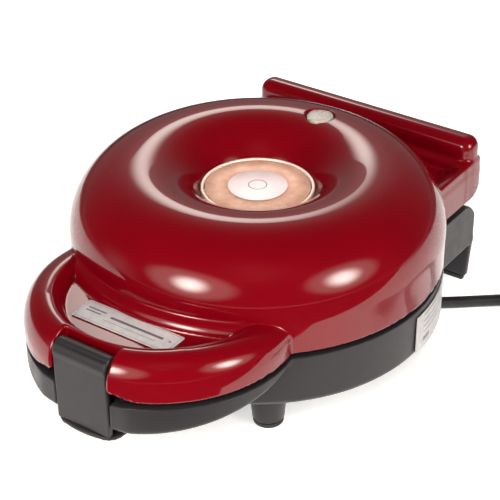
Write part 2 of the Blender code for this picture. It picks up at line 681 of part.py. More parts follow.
def base_cover():
    """The round bottom cover with its vent slots and the block that grips the lead's strain relief."""
    z = BASE_BOTTOM - GAP
    dish = [(0, z), (67, z), (67, z - 2.2), (65.5, z - 2.8), (0, z - 2.8)]
    cover = place("bottom_cover", turned(dish, 48, (0, PLATE_Y)), "dark_satin")
    for k in range(5):
        x = -30 + 15 * k
        combine(cover, box(x - 2, x + 2, PLATE_Y - 42, PLATE_Y - 12, z - 4, z + 1))
    gland = box(-9, 9, -8, 8, -17.6, 2)
    gland.transform(Matrix.Translation(Vector((9.0, 48.2, z - 1)) * MM) @ Matrix.Rotation(LEAD_TURN, 4, "Z"))
    combine(cover, gland, "UNION")
    for k in range(4):
        a = math.radians(45 + 90 * k)
        r, turn = (61, a) if k else (63, a + 0.35)
        at = (r * math.cos(turn), PLATE_Y + r * math.sin(turn))
        combine(cover, turned([(0, z - 5), (1.9, z - 5), (1.9, z + 1), (0, z + 1)], 12, at))
        screw(f"cover_screw_{k + 1}", None, (*at, z - 2.8 - GAP), 2.6)


def strain_relief():
    """A ribbed taper around the lead where it leaves the base."""
    radii = [4.9, 6.2, 6.2, 5.4, 5.9, 5.1, 5.5, 4.8, 5.1, 4.5]
    steps = [(r, RELIEF_LENGTH * k / (len(radii) - 1)) for k, r in enumerate(radii)]
    bm = turned([(0, 0)] + steps + [(0, RELIEF_LENGTH)], 16)
    place("strain_relief", bm, "rubber", None, RELIEF_START, (0, math.pi / 2 + RELIEF_DIP, LEAD_TURN))


def lead_parts():
    """The mains lead: a straight run, a stored coil with its tie, a short tail and the plug."""
    tube("cord_lead", ROUTE_LEAD, CORD_R, "cord_black", 2, 2.4)
    r0, r1, h = COIL_INNER_R, COIL_OUTER_R, COIL_H
    c = 3.2
    ring = [(r0 + c, 0), (r1 - c, 0), (r1, c), (r1, h - c), (r1 - c, h), (r0 + c, h), (r0, h - c), (r0, c)]
    place("cord_coil", turned(ring, 36, COIL_CENTRE), "cord_black")
    wide, mid = 5.0, (r0 + r1) / 2
    around = (r1 - r0) / 2
    outer = [(-around - 1.3, 0.1), (around + 1.3, 0.1), (around + 1.3, h + 1.2), (-around - 1.3, h + 1.2)]
    tie = along_x(outer, -wide, wide)
    at = (COIL_CENTRE[0], COIL_CENTRE[1] - mid, 0)
    obj = place("cord_tie", tie, "black_plastic", None, at)
    room = [(r0 - GAP, -1), (r1 + GAP, -1), (r1 + GAP, h + GAP), (r0 - GAP, h + GAP)]
    combine(obj, turned(room, 36, COIL_CENTRE))
    tube("cord_tail", ROUTE_TAIL, CORD_R, "cord_black", 2, 2.0)
    plug_parts()


def plug_parts():
    """A three-pin plug lying on its flat side, its lead end towards the coil."""
    nose, tail = PLUG_NOSE_Y, PLUG_NOSE_Y + 48.0
    outline = [(-18, nose), (18, nose), (19, nose + 6), (17, nose + 22), (8, nose + 36), (6.2, tail)]
    outline += [(-6.2, tail), (-8, nose + 36), (-17, nose + 22), (-19, nose + 6)]
    body = place("plug_body", prism([(x + PLUG_X, y) for x, y in outline], 0.6, 19.4), "cord_black")
    bevel = body.modifiers.new("Bevel", "BEVEL")
    bevel.width = 2.2 * MM
    bevel.segments = 2
    bevel.limit_method = "ANGLE"
    blade = box(-3.15, 3.15, -18, -GAP, -0.8, 0.8)
    spots = {"line": (-6.5, 6.5, -0.52), "neutral": (6.5, 6.5, 0.52), "earth": (0, 14.6, math.pi / 2)}
    for word, (x, z, lean) in spots.items():
        place(f"plug_pin_{word}", blade.copy(), "brass", None, (PLUG_X + x, nose, z), (0, lean, 0))
    blade.free()


def inner_parts():
    """What the base holds: deck, plate, heater, shield, controls, terminals and wires."""
    room = WALL + 1.6 * GAP
    back = [(DECK_BACK[0] - GAP, DECK_BACK[1])]
    lobe = lobe_outline(LOBE_R - 0.4 - room, RECESS_WALL_Y + GAP, NOTCH_HALF + room, DECK_TURN, back)
    deck_z = PLATE_FACE_LOW - PLATE_FLANGE - GAP - DECK_T
    ring_plate("lower_deck", "black_plastic", None, deck_z, BASE_R - 0.8 - room, lobe)
    baking_plate("lower_plate", None, PLATE_FACE_LOW, -1)
    back = PLATE_FACE_LOW - PLATE_DEPTH
    heating_element("lower_heating_element", None, back - 3.5)
    heat_shield("lower_heat_shield", None, back - 11.4, back - 8.4)
    control = [(0, back - 7.5), (8, back - 7.5), (8, back - 2.4), (6.5, back - GAP), (0, back - GAP)]
    place("thermostat", turned(control, 20, (0, PLATE_Y)), "porcelain")
    place("thermal_fuse", rod(22, 36, PLATE_Y, back - 3.2, 2.1, 12), "steel")
    place("terminal_block", box(-15, 15, PLATE_Y + 91, PLATE_Y + 99, 28.4, 37.4), "porcelain")
    for side, word in ((-1, "neutral"), (1, "live")):
        x = 16 * side
        start = (x, PLATE_Y + 78.5, back - 3.9)
        route = [start, (x, PLATE_Y + 82, back - 4.5), (x * 0.9, PLATE_Y + 85.5, 35)]
        route.append((x * 0.6, PLATE_Y + 89.8, 32.6))
        tube(f"{word}_wire", route, 1.1, "brass", 1, 2)


def rating_label():
    """The rating label, curved with the base's side wall."""
    r, start, end, steps = BASE_R + GAP, -1.0, 32.0, 8
    outer = arc((0, PLATE_Y), r + 0.4, start, end, steps)
    inner = arc((0, PLATE_Y), r, end, start, steps)
    place("rating_label", prism(outer + inner, 29.0, 52.0), "label_silver")


def hinge_pins():
    spans = both_sides(BASE_KNUCKLES[0][0] + 0.4, BASE_KNUCKLES[1][1] - 0.4)
    for (x0, x1), word in zip(spans, ("right", "left")):
        place(f"hinge_pin_{word}", rod(x0, x1, HINGE_Y, HINGE_Z, HINGE_PIN_R), "steel")


def main():
    clear_scene()
    make_paints()
    lid = pivot("lid_pivot", HINGE_Y, HINGE_Z)
    latch = pivot("latch_pivot", LATCH_Y, LATCH_Z)
    base_housing()
    base_cover()
    foot_pads()
    inner_parts()
    hinge_pins()
    rating_label()
    strain_relief()
    lead_parts()
    lid_parts(lid)
    latch_part(latch)


main()
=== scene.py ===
"""The looks of the donut maker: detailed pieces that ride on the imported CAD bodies.

Lengths are millimetres unless a name says otherwise; MM turns them into metres as each mesh is made.
Large moulded pieces are meshed from fields: functions of x, y, z that are negative inside the piece, about as
negative as the depth, so that two fields can be joined with a fillet.
"""

import math

import bmesh
import bpy
import numpy as np
from mathutils import Matrix, Vector


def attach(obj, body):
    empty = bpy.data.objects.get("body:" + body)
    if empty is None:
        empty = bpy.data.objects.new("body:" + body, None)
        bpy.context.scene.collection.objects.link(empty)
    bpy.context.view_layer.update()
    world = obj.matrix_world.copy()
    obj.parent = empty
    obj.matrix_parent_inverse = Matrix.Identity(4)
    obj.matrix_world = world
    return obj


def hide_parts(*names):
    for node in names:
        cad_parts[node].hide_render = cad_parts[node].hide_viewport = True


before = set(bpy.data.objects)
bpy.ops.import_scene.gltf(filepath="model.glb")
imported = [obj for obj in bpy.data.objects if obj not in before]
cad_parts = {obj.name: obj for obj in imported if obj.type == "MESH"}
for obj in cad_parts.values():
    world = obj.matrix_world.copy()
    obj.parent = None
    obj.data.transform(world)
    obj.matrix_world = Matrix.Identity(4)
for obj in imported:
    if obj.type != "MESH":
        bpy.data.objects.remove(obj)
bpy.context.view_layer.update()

MM = 0.001

# Plan outline, as in the CAD part.
PLATE_Y = 18.0
BODY_R = 104.0
LOBE_Y = PLATE_Y - 86.25
LOBE_R = 73.0
WING_HALF = 73.8
REAR_Y = PLATE_Y + 123.25
LID_EDGE = 60.0
CREST_R = 64.0
CREST_Z = 115.8
SHOULDER_Z = 77.4
DIMPLE_R = 31.4
DIMPLE_CURVE_Z = 75.7
BADGE_POCKET_Z = 97.0
BADGE_Z = BADGE_POCKET_Z + 0.3
LAMP_Y = PLATE_Y + 63.0
LAMP_R = 7.7
CIRCLE_R = 5.0
CIRCLE_HALF_WIDTH = 0.3
LOBE_FLOOR_Z = 72.5
RIM_R = 60.0
RIM_INNER_R = 51.6
RIM_Z = 82.4
RIM_EDGE_Z = 65.0
WING_FLOOR_Z = 79.8
SIDE_RIM_Z = 84.5
SIDE_RIM_W = 9.3
BAR_Z = 99.0
BAR_FRONT_Y = PLATE_Y + 109.0
BAR_FOOT_Y = PLATE_Y + 104.5
UNDERCUT_Y = PLATE_Y + 107.0
UNDERCUT_RISE = 11.4
LID_WALL = 2.7
LABEL_HALF = 30.5
LABEL_FRONT_Y = -106.6
LABEL_BACK_Y = -90.6

HINGE_Y = PLATE_Y + 115.0
HINGE_Z = 57.0
LUG_R = 4.8
HINGE_BORE_R = 2.35
LID_LUGS = [(43.7, 50.7)]
BASE_LUGS = [(36.0, 43.0), (51.4, 58.4)]
NOTCH_HALF = 18.2
NOTCH_SIDE = 17.4
NOTCH_BACK_Y = PLATE_Y - 143.2
LATCH_Y = PLATE_Y - 149.9
LATCH_Z = 73.8
LATCH_HALF = 16.75
LATCH_BARREL_R = 6.0
LATCH_THICK = 3.2
LATCH_LOW_Z = 33.4
LATCH_BORE_R = 1.65

# The baking plates: height of each face, and sizes that both share.
UPPER_FACE_Z = 58.2
LOWER_FACE_Z = 57.8
PLATE_R = 90.4
PLATE_DEPTH = 15.2
FLANGE_R = 97.0
FLANGE_HALF = 1.25
RING_CIRCLE_R = 60.0
RING_R = 17.5
RING_HALF_WIDTH = 10.5
RING_DEPTH = 12.5

BASE_R = BODY_R - 0.8
BASE_BOTTOM = 25.2
BASE_TOP = 56.4
LOBE_LOW_FRONT = 36.6
LOBE_LOW_BACK = 47.5
REAR_WALL_Y = PLATE_Y + 121.9
CHAMFER_Y = PLATE_Y + 109.0
CHAMFER_LOW = 45.5
RECESS_BACK_Y = PLATE_Y - 148.5
FOOT_PAD = 3.3
FRONT_FOOT = (49.5, PLATE_Y - 62.8)
BAY_HALF = 61.5
WALL = 2.6

CORD_R = 3.5
COIL_CENTRE = (163.6, 118.7)
COIL_TURN_R = (42.3, 34.9)
COIL_LEVELS = (3.55, 10.9)
COIL_START = 129
TIE_Y = COIL_CENTRE[1] - 38.6
TIE_HALF = 5
ROUTE_LEAD = [
    (40.8, 73.6, 10.2),
    (46.8, 78.4, 9.0),
    (53.2, 83.4, 7.4),
    (60.2, 89.0, 5.8),
    (67.4, 94.9, 4.5),
    (75.0, 101.2, 3.8),
    (82.8, 107.6, 3.6),
    (90.6, 114.0, 3.6),
    (98.6, 120.5, 3.6),
    (107.8, 128.0, 3.6),
    (117.0, 135.4, 3.6),
]
ROUTE_TAIL = [
    (205.9, 92.9, 10.9),
    (205.7, 86.7, 10.7),
    (205.2, 79.7, 10.3),
    (204.6, 73.1, 10.0),
]
RELIEF_START = (17.1, 54.6, 15.3)
RELIEF_DIP = 0.165
LEAD_HEADING = (0.7809, 0.6247)
PLUG_X = 204.6
PLUG_NOSE_Y = 24.7
PLUG_Z = 10

# A colour mix node's sockets by place, because several share a name.
MIX_FIRST = 6
MIX_SECOND = 7
MIX_RESULT = 2


# ---------------------------------------------------------------- materials


def shader_of(name, colour, roughness, metallic=0.0, **sockets):
    """A new material with a Principled shader whose plain values are set on its own sockets."""
    material = bpy.data.materials.new(name)
    material.use_nodes = True
    tree = material.node_tree
    shader = tree.nodes["Principled BSDF"]
    shader.inputs["Base Color"].default_value = (*colour, 1.0)
    shader.inputs["Roughness"].default_value = roughness
    shader.inputs["Metallic"].default_value = metallic
    for socket, value in sockets.items():
        shader.inputs[socket.replace("_", " ")].default_value = value
    return material, tree, shader


def feed(tree, socket, value):
    """Links a socket to another node's output, or sets its plain value."""
    if isinstance(value, bpy.types.NodeSocket):
        tree.links.new(value, socket)
    else:
        socket.default_value = value


def node(tree, kind, settings=None, **inputs):
    """A new node with settings on the node and values or links on its inputs (underscores for spaces)."""
    made = tree.nodes.new(kind)
    for key, value in (settings or {}).items():
        setattr(made, key, value)
    for key, value in inputs.items():
        feed(tree, made.inputs[key.replace("_", " ")], value)
    return made


def calc(tree, operation, *values):
    """The result of a math node on numbers or links."""
    made = node(tree, "ShaderNodeMath", {"operation": operation})
    for socket, value in zip(made.inputs, values):
        feed(tree, socket, value)
    return made.outputs["Value"]


def vector_calc(tree, operation, *values):
    """The result of a vector math node: a number for a length or a dot product, or else a vector."""
    made = node(tree, "ShaderNodeVectorMath", {"operation": operation})
    for socket, value in zip(made.inputs, values):
        feed(tree, socket, value)
    return made.outputs["Value" if operation in ("LENGTH", "DOT_PRODUCT") else "Vector"]


def mix_colours(tree, share, first, second):
    """The first colour where share is 0 and the second where it is 1."""
    made = node(tree, "ShaderNodeMix", {"data_type": "RGBA"}, Factor=share)
    feed(tree, made.inputs[MIX_FIRST], first)
    feed(tree, made.inputs[MIX_SECOND], second)
    return made.outputs[MIX_RESULT]


def noise(tree, scale, detail=4.0, roughness=0.55, stretch=(1, 1, 1)):
    """Noise in the piece's own coordinates, scale in features per metre."""
    coords = node(tree, "ShaderNodeTexCoord")
    mapping = node(tree, "ShaderNodeMapping", Vector=coords.outputs["Object"], Scale=stretch)
    place = mapping.outputs["Vector"]
    made = node(tree, "ShaderNodeTexNoise", Vector=place, Scale=scale, Detail=detail, Roughness=roughness)
    return made.outputs["Fac"]


def ramp(tree, value, stops):
    """A colour that runs through the stops, each a place and a colour, as value rises."""
    made = node(tree, "ShaderNodeValToRGB", Fac=value)
    ends = made.color_ramp.elements
    while len(ends) < len(stops):
        ends.new(0.5)
    for element, (at, colour) in zip(ends, stops):
        element.position = at
        element.color = (*colour, 1.0)
    return made.outputs["Color"]


def spread(tree, value, low, high, start=0.3, end=0.7):
    """From low to high as value goes from start to end."""
    made = node(
        tree, "ShaderNodeMapRange", Value=value, From_Min=start, From_Max=end, To_Min=low, To_Max=high
    )
    return made.outputs["Result"]


def paint(tree, shader, value, stops):
    """Colours the surface by a ramp over value."""
    tree.links.new(ramp(tree, value, stops), shader.inputs["Base Color"])


def mottle(tree, shader, value, dark, pale):
    """Colours the surface from dark to pale with a noise value."""
    paint(tree, shader, value, [(0.3, dark), (0.7, pale)])


def roughen(tree, shader, value, low, high):
    """Varies the roughness from low to high with a noise value."""
    tree.links.new(spread(tree, value, low, high), shader.inputs["Roughness"])


def bump(tree, shader, height, distance, strength):
    """Raises the surface by distance, in metres, where height is 1."""
    made = node(tree, "ShaderNodeBump", Height=height, Distance=distance, Strength=strength)
    tree.links.new(made.outputs["Normal"], shader.inputs["Normal"])


def shade(colour, factor):
    """A colour made lighter or darker."""
    return tuple(min(c * factor, 1.0) for c in colour)


def painted_edge_highlight(tree):
    """1 on convex edges and 0 elsewhere, from the mesh's own pointiness: the mask of a painted edge
    highlight.
    """
    geometry = node(tree, "ShaderNodeNewGeometry")
    return spread(tree, geometry.outputs["Pointiness"], 0.0, 1.0, 0.47, 0.56)


def gloss_red():
    """Lacquered red: deep colour under a clear coat, with a faint flow in the lacquer and dust specks."""
    colour = (0.15, 0.0003, 0.0042)
    coat = {"Coat_Weight": 1.0, "Coat_Roughness": 0.045, "Coat_IOR": 1.5}
    material, tree, shader = shader_of("red_lacquer", colour, 0.3, Specular_IOR_Level=0.03, **coat)
    mottle(tree, shader, noise(tree, 14, 3), shade(colour, 0.9), shade(colour, 1.08))
    roughen(tree, shader, noise(tree, 1800, 2), 0.26, 0.36)
    bump(tree, shader, noise(tree, 55, 1), 0.00002, 0.35)
    return material


def satin_plastic(name, colour, roughness, grain=0.00006, scale=2600.0, gloss=0.3):
    """Moulded plastic with a fine spark-eroded grain, faint colour drift and a painted highlight that
    lightens its convex edges.
    """
    material, tree, shader = shader_of(name, colour, roughness, Specular_IOR_Level=gloss)
    drift = ramp(tree, noise(tree, 30, 4), [(0.3, shade(colour, 0.9)), (0.7, shade(colour, 1.1))])
    # Convex edges are painted a quarter lighter than the drift colour: a painted edge highlight.
    highlit_edges = mix_colours(tree, painted_edge_highlight(tree), drift, (*shade(colour, 1.25), 1.0))
    tree.links.new(highlit_edges, shader.inputs["Base Color"])
    roughen(tree, shader, noise(tree, 140, 5), roughness - 0.05, roughness + 0.07)
    bump(tree, shader, noise(tree, scale, 3, 0.6), grain, 0.6)
    return material


def metal(name, colour, roughness, stretch=(1, 1, 1), scale=500.0, depth=0.00002, share=1.0):
    """Drawn or brushed metal: streaks in roughness and height, and a slow change of colour."""
    material, tree, shader = shader_of(name, colour, roughness, share)
    streak = noise(tree, scale, 5, 0.65, stretch)
    mottle(tree, shader, noise(tree, 60, 4), shade(colour, 0.86), shade(colour, 1.08))
    roughen(tree, shader, streak, roughness - 0.08, roughness + 0.12)
    bump(tree, shader, streak, depth, 0.5)
    return material


def nonstick():
    """Dark fluoropolymer coating: a fine orange-peel bump and sparse paler flecks."""
    colour = (0.022, 0.022, 0.024)
    material, tree, shader = shader_of("nonstick_coat", colour, 0.38, Specular_IOR_Level=0.6)
    coords = node(tree, "ShaderNodeTexCoord")
    flecks = node(tree, "ShaderNodeTexVoronoi", Vector=coords.outputs["Object"], Scale=900.0)
    paint(tree, shader, flecks.outputs["Distance"], [(0.06, (0.11, 0.11, 0.115)), (0.16, colour)])
    roughen(tree, shader, noise(tree, 300, 4), 0.3, 0.46)
    bump(tree, shader, noise(tree, 1500, 3), 0.00005, 0.6)
    return material


def rubber():
    """Matt black rubber with a coarse skin."""
    material, tree, shader = shader_of("foot_rubber", (0.018, 0.018, 0.018), 0.75)
    mottle(tree, shader, noise(tree, 200, 4), (0.014, 0.014, 0.014), (0.03, 0.03, 0.03))
    roughen(tree, shader, noise(tree, 700, 3), 0.65, 0.85)
    bump(tree, shader, noise(tree, 3000, 2), 0.00008, 0.7)
    return material


def cord_jacket():
    """Extruded PVC: slightly glossy, with a faint mottle."""
    material, tree, shader = shader_of("cord_jacket", (0.012, 0.012, 0.013), 0.36)
    mottle(tree, shader, noise(tree, 120, 4), (0.009, 0.009, 0.01), (0.019, 0.019, 0.02))
    roughen(tree, shader, noise(tree, 500, 4), 0.3, 0.46)
    bump(tree, shader, noise(tree, 2200, 2), 0.00003, 0.5)
    return material


def around_badge(tree, scale):
    """The distance from the badge's centre, and rings about it for a spun finish."""
    coords = node(tree, "ShaderNodeTexCoord")
    offset = vector_calc(tree, "SUBTRACT", coords.outputs["Object"], (0, PLATE_Y * MM, 0))
    radius = vector_calc(tree, "LENGTH", vector_calc(tree, "MULTIPLY", offset, (1, 1, 0)))
    rings = node(tree, "ShaderNodeTexNoise", {"noise_dimensions": "1D"}, W=radius, Scale=scale, Detail=5.0)
    return radius, rings.outputs["Fac"]


def copper_badge():
    """Pale copper print on a spun disc, with blotches where the foil has picked up handling."""
    material, tree, shader = shader_of("badge_copper", (0.74, 0.42, 0.31), 0.4, 0.1)
    stops = [(0.35, (0.66, 0.35, 0.24)), (0.5, (0.76, 0.43, 0.32)), (0.68, (0.85, 0.55, 0.43))]
    paint(tree, shader, noise(tree, 120, 6, 0.7), stops)
    _, spun = around_badge(tree, 1600.0)
    roughen(tree, shader, spun, 0.36, 0.5)
    bump(tree, shader, spun, 0.00003, 0.4)
    return material


def pink_badge():
    """Pale pink print with one thin grey circle about its centre."""
    material, tree, shader = shader_of("badge_pink", (0.98, 0.82, 0.85), 0.45)
    ground = ramp(tree, noise(tree, 90, 5), [(0.3, (0.95, 0.76, 0.80)), (0.7, (1.0, 0.88, 0.90))])
    radius, spun = around_badge(tree, 1400.0)
    on_line = calc(tree, "COMPARE", radius, CIRCLE_R * MM, CIRCLE_HALF_WIDTH * MM)
    printed = mix_colours(tree, on_line, ground, (0.22, 0.17, 0.18, 1))
    tree.links.new(printed, shader.inputs["Base Color"])
    roughen(tree, shader, spun, 0.34, 0.46)
    bump(tree, shader, noise(tree, 1500, 2), 0.00002, 0.4)
    return material


def lamp_lens():
    """A milky lens: pale, slightly warm, with light scattered under its skin."""
    scatter = {"Subsurface_Weight": 0.3, "Subsurface_Scale": 0.002}
    material, tree, shader = shader_of("lamp_lens", (0.44, 0.40, 0.37), 0.28, **scatter)
    mottle(tree, shader, noise(tree, 260, 4), (0.39, 0.35, 0.32), (0.50, 0.46, 0.43))
    roughen(tree, shader, noise(tree, 600, 3), 0.22, 0.34)
    return material


def label_foil(name, marks, tone=1.0):
    """Satin silver foil with plain dark bars in place of print. Each mark is a list of (axis, low, high)."""
    material, tree, shader = shader_of(name, shade((0.62, 0.60, 0.62), tone), 0.42, 0.25)
    dull, bright = shade((0.56, 0.54, 0.56), tone), shade((0.69, 0.67, 0.69), tone)
    foil = ramp(tree, noise(tree, 220, 5), [(0.3, dull), (0.7, bright)])
    coords = node(tree, "ShaderNodeTexCoord")
    split = node(tree, "ShaderNodeSeparateXYZ", Vector=coords.outputs["Object"])
    printed = None
    for mark in marks:
        inside = None
        for axis, low, high in mark:
            for test, edge in (("GREATER_THAN", low), ("LESS_THAN", high)):
                passed = calc(tree, test, split.outputs[axis], edge * MM)
                inside = passed if inside is None else calc(tree, "MULTIPLY", inside, passed)
        printed = inside if printed is None else calc(tree, "MAXIMUM", printed, inside)
    tree.links.new(mix_colours(tree, printed, foil, (0.16, 0.155, 0.17, 1)), shader.inputs["Base Color"])
    roughen(tree, shader, noise(tree, 900, 4), 0.34, 0.5)
    bump(tree, shader, noise(tree, 1200, 3), 0.00001, 0.5)
    return material


def bare_ceramic(name, colour):
    """Unglazed technical ceramic with a faint speckle."""
    material, tree, shader = shader_of(name, colour, 0.5)
    paint(tree, shader, noise(tree, 500, 5), [(0.35, shade(colour, 0.85)), (0.6, colour)])
    roughen(tree, shader, noise(tree, 300, 3), 0.42, 0.6)
    bump(tree, shader, noise(tree, 1800, 3), 0.00004, 0.5)
    return material


# ---------------------------------------------------------------- mesh tools


def placed(name, data):
    """A new object in the scene."""
    obj = bpy.data.objects.new(name, data)
    bpy.context.scene.collection.objects.link(obj)
    return obj


def declare(obj, body, replaced=()):
    """Makes an object ride on a body, in place of the CAD nodes that it stands for."""
    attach(obj, body)
    if replaced:
        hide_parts(*replaced)
    return obj


def add(name, mesh, material, body, replaced=()):
    """Puts a mesh in the scene as a piece that rides on a body."""
    mesh.materials.clear()
    mesh.materials.append(material)
    return declare(placed(name, mesh), body, replaced)


def ease(t):
    """A smooth rise from 0 to 1 as t does."""
    t = np.clip(t, 0.0, 1.0)
    return t * t * (3 - 2 * t)


def join(a, b, k):
    """The union of two fields, with a fillet of about size k where they meet."""
    h = np.clip(0.5 + 0.5 * (b - a) / k, 0.0, 1.0)
    return b + (a - b) * h - k * h * (1 - h)


def meet(a, b, k):
    """The part inside both fields, its new edges rounded by about k."""
    return -join(-a, -b, k)


def carve(a, b, k):
    """Field a with field b taken out of it."""
    return meet(a, -b, k)


def egg(u, v, a, b):
    """A quarter ellipse of half axes a, b in the u, v plane, with a straight wall below v = 0."""
    p, q = np.maximum(u, 0) / a, np.maximum(v, 0) / b
    g = np.sqrt(p * p + q * q)
    slope = np.sqrt((p / a) ** 2 + (q / b) ** 2) / np.maximum(g, 1e-6)
    return (g - 1) / np.maximum(slope, 1.0 / max(a, b))


def round_corner(u, v, r):
    """A corner of radius r, from the distances past its arc's centre along each side."""
    return np.hypot(np.maximum(u, 0), np.maximum(v, 0)) + np.minimum(np.maximum(u, v), 0) - r


def slab(x, y, x0, x1, y0, y1, r=0.0):
    """A rectangle in plan with corners of radius r."""
    u = np.abs(x - (x0 + x1) / 2) - (x1 - x0) / 2 + r
    v = np.abs(y - (y0 + y1) / 2) - (y1 - y0) / 2 + r
    return round_corner(u, v, r)


def block(x, y, z, x0, x1, y0, y1, z0, z1, r=0.0):
    """A box with edges rounded to radius r."""
    u = np.abs(x - (x0 + x1) / 2) - (x1 - x0) / 2 + r
    v = np.abs(y - (y0 + y1) / 2) - (y1 - y0) / 2 + r
    w = np.abs(z - (z0 + z1) / 2) - (z1 - z0) / 2 + r
    out = np.sqrt(np.maximum(u, 0) ** 2 + np.maximum(v, 0) ** 2 + np.maximum(w, 0) ** 2)
    return out + np.minimum(np.maximum(np.maximum(u, v), w), 0) - r


def gradient(field, p, h=0.04):
    """The field's gradient at the points p, one row each."""
    out = np.empty_like(p)
    for axis in range(3):
        step = np.zeros(3)
        step[axis] = h
        a, b = (p + step).T, (p - step).T
        out[:, axis] = (field(*a) - field(*b)) / (2 * h)
    return out


def settle(field, p, limit, times=3):
    """Moves points onto the field's zero surface."""
    for _ in range(times):
        g = gradient(field, p)
        size = np.maximum((g * g).sum(1), 0.05)
        move = -(field(*p.T) / size)[:, None] * g
        length = np.linalg.norm(move, axis=1, keepdims=True)
        p = p + move * np.minimum(1.0, limit / np.maximum(length, 1e-9))
    return p


def meshed(name, field, low, high, step):
    """A mesh of the surface where the field is zero: one point in each grid cell that the surface crosses."""
    axes = [np.arange(a - step, b + 2 * step, step) for a, b in zip(low, high)]
    values = field(*np.meshgrid(*axes, indexing="ij"))
    solid = values < 0
    shape = np.array(solid.shape) - 1
    count = np.zeros(shape, np.int8)
    for i in (0, 1):
        for j in (0, 1):
            for k in (0, 1):
                count += solid[i : i + shape[0], j : j + shape[1], k : k + shape[2]]
    mixed = (count > 0) & (count < 8)
    index = np.full(shape, -1, np.int64)
    index[mixed] = np.arange(mixed.sum())
    quads, crossings = [], []
    for axis in range(3):
        u, v = (axis + 1) % 3, (axis + 2) % 3
        here = [slice(1, -1)] * 3
        there = [slice(1, -1)] * 3
        here[axis], there[axis] = slice(0, -1), slice(1, None)
        a, b = solid[tuple(here)], solid[tuple(there)]
        flips = np.argwhere(a != b)
        leaving = a[tuple(flips.T)]
        base = flips + 1
        base[:, axis] -= 1
        after = base.copy()
        after[:, axis] += 1
        first, last = values[tuple(base.T)], values[tuple(after.T)]
        crossing = np.stack([axes[k][base[:, k]] for k in range(3)], axis=1)
        crossing[:, axis] += step * first / (first - last)
        around = []
        for du, dv in ((-1, -1), (0, -1), (0, 0), (-1, 0)):
            at = base.copy()
            at[:, u] += du
            at[:, v] += dv
            around.append(index[tuple(at.T)])
        quad = np.stack(around, axis=1)
        quads.append(np.where(leaving[:, None], quad, quad[:, ::-1]))
        crossings.append(crossing)
    quads, crossings = np.concatenate(quads), np.concatenate(crossings)
    total = int(mixed.sum())
    near = [np.bincount(quads.ravel(), np.repeat(crossings[:, k], 4), total) for k in range(3)]
    uses = np.maximum(np.bincount(quads.ravel(), minlength=total), 1)[:, None]
    points = np.stack(near, axis=1) / uses
    ends = np.concatenate([quads[:, [0, 1]], quads[:, [1, 2]], quads[:, [2, 3]], quads[:, [3, 0]]])
    degree = np.maximum(np.bincount(ends[:, 0], minlength=total), 1)[:, None]
    points = settle(field, points, step * 0.4)
    for _ in range(3):
        sums = [np.bincount(ends[:, 0], points[ends[:, 1], k], total) for k in range(3)]
        mean = np.stack(sums, axis=1) / degree
        points = settle(field, points + 0.5 * (mean - points), step * 0.4, 2)
    normals = gradient(field, points)
    normals /= np.maximum(np.linalg.norm(normals, axis=1, keepdims=True), 1e-9)
    mesh = bpy.data.meshes.new(name)
    mesh.vertices.add(len(points))
    mesh.vertices.foreach_set("co", (points * MM).ravel())
    mesh.loops.add(quads.size)
    mesh.loops.foreach_set("vertex_index", quads.ravel())
    mesh.polygons.add(len(quads))
    mesh.polygons.foreach_set("loop_start", np.arange(0, quads.size, 4))
    mesh.polygons.foreach_set("loop_total", np.full(len(quads), 4))
    mesh.update(calc_edges=True)
    mesh.validate()
    mesh.shade_smooth()
    mesh.normals_split_custom_set_from_vertices(normals)
    return mesh


def moulded(name, field, low, high, step, material, body, replaced=(), slot=None):
    """A piece meshed from a field inside the box from low to high."""
    return add(name, meshed(name, field, low, high, step), material, body, replaced)


def turned(name, profile, segments=96, centre=(0.0, 0.0), sharp=35):
    """A closed (r, z) profile turned about the vertical through centre."""
    bm = bmesh.new()
    cx, cy = centre
    turns = [math.tau * k / segments for k in range(segments)]
    rings = []
    for r, z in profile:
        if r == 0:
            rings.append([bm.verts.new(Vector((cx, cy, z)) * MM)] * segments)
            continue
        spots = [Vector((cx + r * math.cos(a), cy + r * math.sin(a), z)) for a in turns]
        rings.append([bm.verts.new(spot * MM) for spot in spots])
    for ring, after in zip(rings, rings[1:] + rings[:1]):
        for k in range(segments):
            n = (k + 1) % segments
            face = list(dict.fromkeys([ring[k], ring[n], after[n], after[k]]))
            if len(face) > 2:
                bm.faces.new(face)
    return finished(name, bm, sharp)


def finished(name, bm, sharp=35):
    """The mesh of a closed shape, its faces turned outwards and smooth up to an angle of sharp degrees."""
    bmesh.ops.recalc_face_normals(bm, faces=bm.faces)
    mesh = bpy.data.meshes.new(name)
    bm.to_mesh(mesh)
    bm.free()
    mesh.shade_smooth()
    mesh.set_sharp_from_angle(angle=math.radians(sharp))
    return mesh


def rounded(points, radius, steps=4):
    """A closed outline with each corner turned into an arc; radius is one number or one for each corner."""
    radii = radius if isinstance(radius, (list, tuple)) else [radius] * len(points)
    out = []
    for k, (p, r) in enumerate(zip(points, radii)):
        p = Vector(p)
        a, b = Vector(points[k - 1]) - p, Vector(points[(k + 1) % len(points)]) - p
        reach = min(r, a.length * 0.45, b.length * 0.45)
        if reach < 1e-4:
            out.append(tuple(p))
            continue
        start, end = p + a.normalized() * reach, p + b.normalized() * reach
        for s in range(steps + 1):
            t = s / steps
            out.append(tuple(start * (1 - t) ** 2 + p * 2 * t * (1 - t) + end * t * t))
    return out


